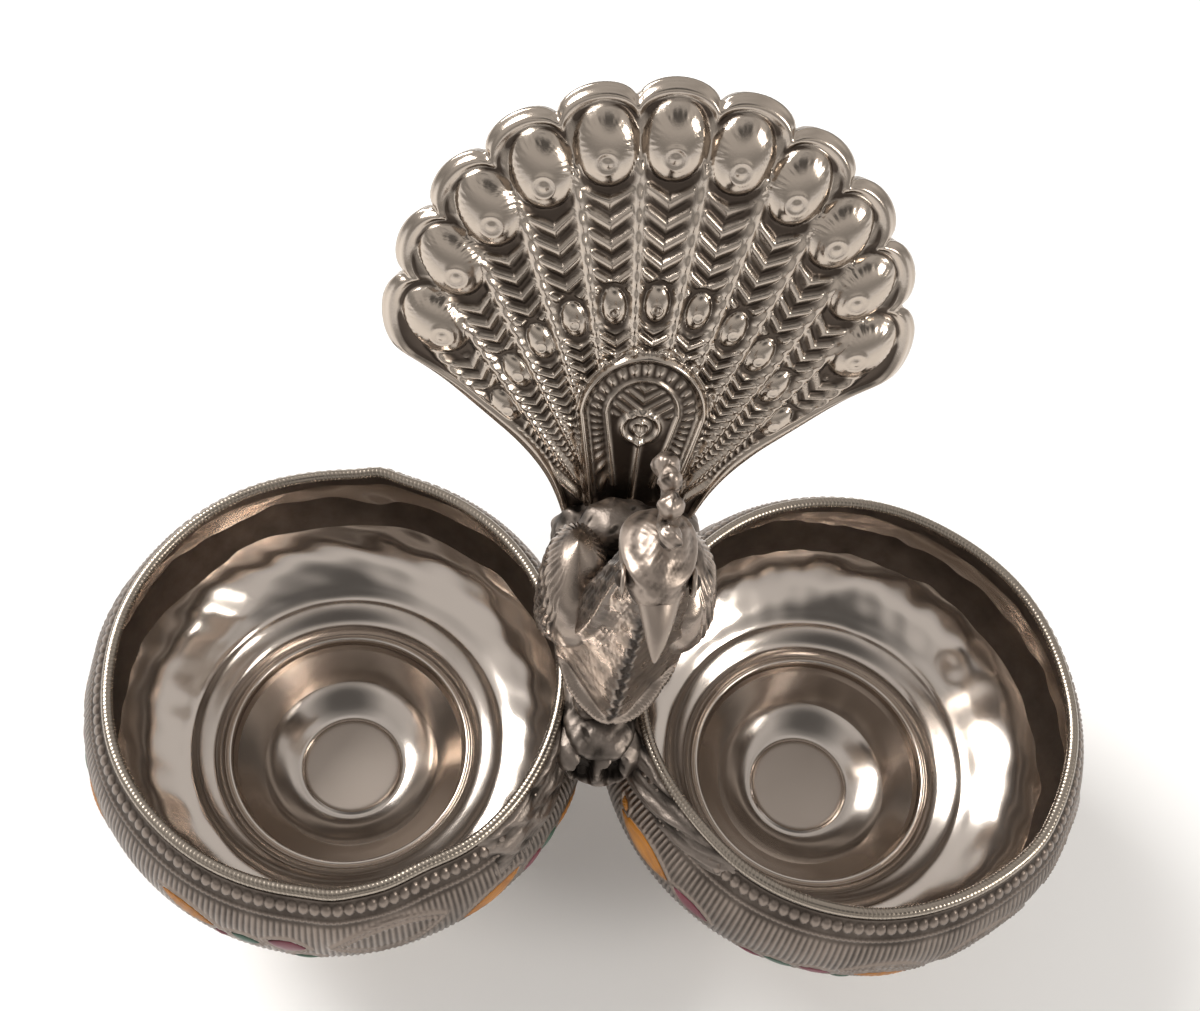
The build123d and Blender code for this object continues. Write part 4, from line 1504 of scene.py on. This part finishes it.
@dataclass
class Solder:
    """Rough grey solder that joins the bowls, the bird and the tail."""

    skin_back: float = -0.3
    smear_height: float = 0.72
    pocket_depth: float = 2.1
    web_stations: Sequence[Station] = (
        (-6.5, 29.0, 0.2, 0.3), (-6.5, 29.5, 2.3, 2.2), (-6.5, 31.5, 3.4, 3.4), (-6.5, 34.0, 4.5, 4.5),
        (-6.5, 36.0, 5.4, 4.2), (-6.4, 37.5, 5.2, 2.9), (-6.2, 38.2, 0.3, 0.2),
    )
    pockets: Sequence[Pocket] = (Pocket(-1.7, 34.9, 1.45, 2.7), Pocket(1.6, 35.6, 1.25, 2.3))
    saddle_top: Blob = Blob("saddle_top", (0.0, -0.6, 37.6), (4.3, 8.6, 1.9), 0.62, 0.18, 71)
    upper: Sequence[Blob] = (
        Blob("bird_foot", (0.0, 0.2, 41.2), (3.5, 5.8, 3.2), 0.8, 0.35, 73),
        Blob("tail_collar", (0.0, 6.2, 63.4), (7.4, 3.3, 3.3), 0.6, 0.24, 74, (110, 160), "tail_shoe"),
        Blob("collar_plate", (-0.6, 4.6, 67.6), (4.6, 2.6, 2.9), 0.75, 0.16, 75),
    )

    def blob(self, shape: Blob) -> bpy.types.Object:
        """Lumpy rounded block.

        A ball's coordinates are raised to a power below one, which squares it off, then stretched to three
        radii and pushed in and out by an irregular field.

        Args:
            shape: the block's sizes.

        Returns:
            The dressed piece.
        """
        ball = ellipsoid((0.0, 0.0, 0.0), (1.0, 1.0, 1.0), *shape.grid)
        block = np.sign(ball) * np.abs(ball) ** shape.square * np.asarray(shape.radii)
        place = block + np.asarray(shape.centre)
        field = lumps(place, 6.5, shape.seed, 2)
        pits = np.clip(lumps(place, 3.0, shape.seed + 1, 2) - 0.7, 0.0, 1.0)
        lift = shape.rough * field - 0.5 * shape.rough * pits
        grid = block + ball * lift[..., None] + np.asarray(shape.centre)
        piece = make_piece(shape.name, grid, poles=True, relief=0.50 + 0.22 * field - 0.45 * pits)
        return dress(piece, SOLDER, "rough_solder", *([shape.node] if shape.node else []))

    def smear(self, bowl: Bowl, start: float, end: float, deep: float, seed: int) -> bpy.types.Object:
        """Smear of solder on a bowl's wall under the rim.

        A patch in angle and depth down the wall, whose height is an irregular field that falls to below
        the wall towards the patch's edges, so that its outline comes out ragged.

        Args:
            bowl: the bowl it lies on.
            start: angle in degrees where it is deepest.
            end: angle where it runs out.
            deep: how far down the wall it reaches.
            seed: seed of the lumps.

        Returns:
            The dressed piece.
        """
        turn = np.radians(np.linspace(start, end, 170))[None, :]
        depth = np.linspace(0.25, deep, 80)[:, None]
        radius, height = bowl.wall(depth)
        field = lumps(stacked(radius * turn, depth, 0.0), 7.0, seed)
        along = np.clip((turn - turn[0, 0]) / (turn[0, -1] - turn[0, 0]), 0.0, 1.0)
        reach = deep * (0.35 + 0.65 * (1.0 - along))
        falling = ramp(-depth, -reach, -reach * 0.35) * ramp(along, 0.0, 0.12) * ramp(-along, -1.0, -0.8)
        front = bowl.place(radius, turn, height, -0.15 + falling * (self.smear_height + 0.22 * field))
        back = bowl.place(radius, turn, height, self.skin_back)
        points = np.hstack([front, back[:, ::-1]])
        top = 0.5 * (points[:1] + points[:1, ::-1])
        bottom = 0.5 * (points[-1:] + points[-1:, ::-1])
        value = np.hstack([0.50 + 0.25 * field, np.full_like(field, 0.2)])
        piece = make_piece(f"{bowl.side.word}_solder_smear", np.vstack([top, points, bottom]),
                           relief=np.vstack([value[:1], value, value[-1:]]))
        return dress(piece, SOLDER, "rough_solder", f"{bowl.side.word}_solder")

    def web(self, name: str, facing: float, seed: int, *nodes: str) -> bpy.types.Object:
        """Solder that hangs between the bowls, at the front with two pockets painted dark as shade and a rib
        between them.

        A stack of squared ovals widens upwards with the gap between the bowls' walls. The pockets are
        ragged ovals pushed into the front face and painted dark as shade.

        Args:
            name: name of the piece.
            facing: -1 for the web at the front, 1 for the one at the back.
            seed: seed of the lumps.
            nodes: CAD nodes that the piece replaces.

        Returns:
            The dressed piece.
        """
        line = smooth_path(self.web_stations, spacing=0.15)
        turn = around_once(220)[None, :]
        wide, deep = (np.sign(wave) * np.abs(wave) ** 0.7 for wave in (np.sin(turn), np.cos(turn)))
        grid = stacked(line[:, 2:3] * wide, line[:, 0:1] - line[:, 3:4] * deep, line[:, 1:2])
        x, z = grid[..., 0], grid[..., 2]
        front = ramp(np.cos(turn), 0.1, 0.4)
        hollow = np.zeros_like(x)
        for pocket in self.pockets if facing < 0.0 else ():
            oval = np.hypot((x - pocket.x) / pocket.half_wide, (z - pocket.z) / pocket.half_tall)
            oval = oval + 0.16 * lumps(grid, 3.2, seed + 3, 2)
            hollow = np.maximum(hollow, (1.0 - ramp(oval, 0.5, 1.1)) * front)
        field = lumps(grid, 6.5, seed, 2)
        grid[..., 1] = (grid[..., 1] + self.pocket_depth * hollow - 0.20 * field * front) * -facing
        grid[..., 2] += 0.10 * field * front
        # The pockets' relief value is lowered by 0.9: painted shade in the hollows.
        piece = make_piece(name, grid, poles=True, relief=0.52 + 0.16 * field - 0.9 * hollow)
        return dress(piece, SOLDER, "rough_solder", *nodes)

    def build(self, left: Bowl, right: Bowl) -> None:
        """Make the smears, the saddle with its webs, the foot of the bird and the tail's collar.

        Args:
            left: the left bowl.
            right: the right bowl.
        """
        self.smear(left, -52.0, 26.0, 10.5, 61)
        self.smear(right, 154.0, 240.0, 11.5, 62)
        self.blob(self.saddle_top)
        self.web("saddle_web_front", -1.0, 72, "bridge_saddle")
        self.web("saddle_web_back", 1.0, 76)
        for shape in self.upper:
            self.blob(shape)


# Studio

@dataclass(frozen=True)
class Lamp:
    """A square soft lamp: place and side in metres, power in watts and share of blue taken away."""

    name: str
    place: Place
    size: float
    watts: float
    warmth: float


@dataclass
class Studio:
    """Pale floor, soft lamps and the camera of the photograph."""

    image_width: float = 1200.0
    focal_pixels: float = 1536.8
    sensor: float = 36.0
    azimuth: float = -8.98
    elevation: float = 61.62
    roll: float = 11.16
    distance: float = 186.3
    target: Place = (-0.55, 22.57, 38.65)
    aim: Place = (0.0, 0.0, 0.05)
    lamps: Sequence[Lamp] = (
        Lamp("window", (-0.55, 0.35, 0.62), 0.42, 8.0, 0.04),
        Lamp("fill", (0.6, -0.25, 0.5), 0.25, 2.4, 0.10),
    )
    floor_reach: float = 3.0
    floor_shade: float = 0.93
    shadow_from: float = 0.16
    shadow_to: float = 0.75
    low_sky: Colour = (0.62, 0.60, 0.58)
    top_sky: Colour = (0.80, 0.78, 0.76)
    sky_steps: Sequence[tuple[float, float]] = (
        (0.18, 0.40), (0.36, 0.56), (0.55, 0.80), (0.74, 0.80), (0.88, 0.60),
    )
    sky_strength: float = 0.85
    shade_direction: Place = (0.06, -0.43, 0.90)
    shade_left: float = 0.22

    def camera(self) -> None:
        """Stand the camera where the photograph was taken, rolled as it was held."""
        a, e, r = (math.radians(v) for v in (self.azimuth, self.elevation, self.roll))
        back = Vector((math.sin(a) * math.cos(e), -math.cos(a) * math.cos(e), math.sin(e)))
        level = Vector((0.0, 0.0, 1.0)).cross(back).normalized()
        upright = back.cross(level)
        right = math.cos(r) * level + math.sin(r) * upright
        top = -math.sin(r) * level + math.cos(r) * upright
        data = bpy.data.cameras.new("camera")
        data.sensor_width = self.sensor
        data.lens = self.sensor * self.focal_pixels / self.image_width
        data.clip_start, data.clip_end = 0.005, 20.0
        camera = bpy.data.objects.new("camera", data)
        place = (Vector(self.target) + back * self.distance) * MM
        camera.matrix_world = Matrix.Translation(place) @ Matrix((right, top, back)).transposed().to_4x4()
        bpy.context.scene.collection.objects.link(camera)
        bpy.context.scene.camera = camera

    def floor(self) -> None:
        """A wide pale floor that keeps the shadow near the holder and turns plain white further out."""
        mesh = bpy.data.meshes.new("floor")
        far = self.floor_reach
        corners = [(-far, -far, 0.0), (far, -far, 0.0), (far, far, 0.0), (-far, far, 0.0)]
        mesh.from_pydata(corners, [], [(0, 1, 2, 3)])
        floor = bpy.data.objects.new("floor", mesh)
        bpy.context.scene.collection.objects.link(floor)
        made = bpy.data.materials.new("pale floor")
        made.use_nodes = True
        made.node_tree.nodes.clear()
        s = Sockets(made.node_tree)
        pale = s.add("ShaderNodeBsdfPrincipled", Base_Color=(self.floor_shade,) * 3 + (1.0,), Roughness=0.9,
                     Specular_IOR_Level=0.1)
        place = s.add("ShaderNodeTexCoord").outputs["Object"]
        away = s.add("ShaderNodeVectorMath", operation="LENGTH", _0=place).outputs["Value"]
        share = s.add("ShaderNodeMapRange", _0=away, _1=self.shadow_from, _2=self.shadow_to, _3=0.0, _4=1.0)
        path = s.add("ShaderNodeLightPath").outputs
        seen = s.math("MAXIMUM", path["Is Camera Ray"], path["Is Glossy Ray"])
        seen = s.math("MAXIMUM", seen, path["Is Transmission Ray"])
        white = s.add("ShaderNodeEmission", Color=(1.0, 1.0, 1.0, 1.0), Strength=1.0)
        mix = s.add("ShaderNodeMixShader", _0=s.math("MULTIPLY", share.outputs[0], seen),
                    _1=pale.outputs["BSDF"], _2=white.outputs[0])
        s.add("ShaderNodeOutputMaterial", Surface=mix.outputs[0])
        mesh.materials.append(made)

    def world(self) -> None:
        """Soft room light: white to the camera, and a warm grey room with a bright ceiling in the metal.

        The room's brightness steps with the height of the direction. A soft dark patch stands where the
        camera is held, its edge a ramp of the cosine between the two directions.
        """
        world = bpy.data.worlds.new("studio")
        bpy.context.scene.world = world
        world.use_nodes = True
        world.node_tree.nodes.clear()
        s = Sockets(world.node_tree)
        direction = s.add("ShaderNodeTexCoord").outputs["Generated"]
        height = s.add("ShaderNodeSeparateXYZ", _0=direction).outputs["Z"]
        sky = s.add("ShaderNodeValToRGB", Fac=height)
        stops = sky.color_ramp.elements
        stops[0].position, stops[0].color = 0.0, (*self.low_sky, 1.0)
        stops[1].position, stops[1].color = 1.0, (*self.top_sky, 1.0)
        for position, level in self.sky_steps:
            stops.new(position).color = (level, level * 0.965, level * 0.93, 1.0)
        toward = s.add("ShaderNodeVectorMath", operation="DOT_PRODUCT", _0=direction, _1=self.shade_direction)
        shade = s.add("ShaderNodeMapRange", _0=toward.outputs["Value"], _1=0.90, _2=0.985, _3=1.0,
                      _4=self.shade_left)
        level = s.math("MULTIPLY", shade.outputs[0], self.sky_strength)
        room = s.add("ShaderNodeBackground", Color=sky.outputs["Color"], Strength=level)
        plain = s.add("ShaderNodeBackground", Color=(1.0, 1.0, 1.0, 1.0), Strength=1.0)
        mix = s.add("ShaderNodeMixShader", _0=s.add("ShaderNodeLightPath").outputs["Is Camera Ray"],
                    _1=room.outputs[0], _2=plain.outputs[0])
        s.add("ShaderNodeOutputWorld", Surface=mix.outputs[0])

    def hang(self, shape: Lamp) -> None:
        """Hang one lamp so that it faces the holder's middle.

        Args:
            shape: the lamp.
        """
        data = bpy.data.lights.new(shape.name, "AREA")
        data.size = shape.size
        data.energy = shape.watts
        data.color = (1.0, 1.0 - 0.4 * shape.warmth, 1.0 - shape.warmth)
        lamp = bpy.data.objects.new(shape.name, data)
        lamp.location = shape.place
        lamp.rotation_euler = (Vector(self.aim) - Vector(shape.place)).to_track_quat("-Z", "Y").to_euler()
        bpy.context.scene.collection.objects.link(lamp)

    def build(self) -> None:
        """Set up the floor, the world, the lamps and the camera."""
        self.floor()
        self.world()
        for shape in self.lamps:
            self.hang(shape)
        self.camera()
        bpy.context.scene.view_settings.view_transform = "Standard"


def dress_cad_nodes() -> None:
    """Give every CAD node that still shows a finish of its own."""
    finishes = {
        "polished_silver": MIRROR, "knurled_wire": WIRE, "stamped_silver": STAMPED, "cast_silver": CAST,
        "rough_solder": SOLDER,
    }
    slots = {part["node"]: part["material_slot"] for part in frame["record"]["subparts"]}
    for name, node in frame["nodes"].items():
        finish = finishes[slots[name]]
        node.data.materials.clear()
        node.data.materials.append(finish.material())


def main() -> None:
    """Dress the frame from the bowls up, and set up the studio."""
    logging.basicConfig(level=logging.INFO, format="%(message)s")
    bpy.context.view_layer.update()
    dress_cad_nodes()
    left = Bowl(
        Side.LEFT, motif_ring(LEFT_MOTIFS, 8.0, 218.0), sway_phase=0.9,
        dents=(Dent(-63.0, 9.0, -0.55, 0.12), Dent(-86.0, 5.0, 0.25, 0.0), Dent(84.0, 5.0, 0.5, 0.1)),
    )
    right = Bowl(
        Side.RIGHT, motif_ring(RIGHT_MOTIFS, -45.0, 192.0), sway_phase=2.2,
        dents=(Dent(-140.0, 16.0, -0.25, 0.05), Dent(-40.0, 8.0, 0.2, 0.1)),
    )
    left.build()
    right.build()
    Tail().build()
    Bird().build()
    Solder().build(left, right)
    Studio().build()


if __name__ == "__main__":
    main()
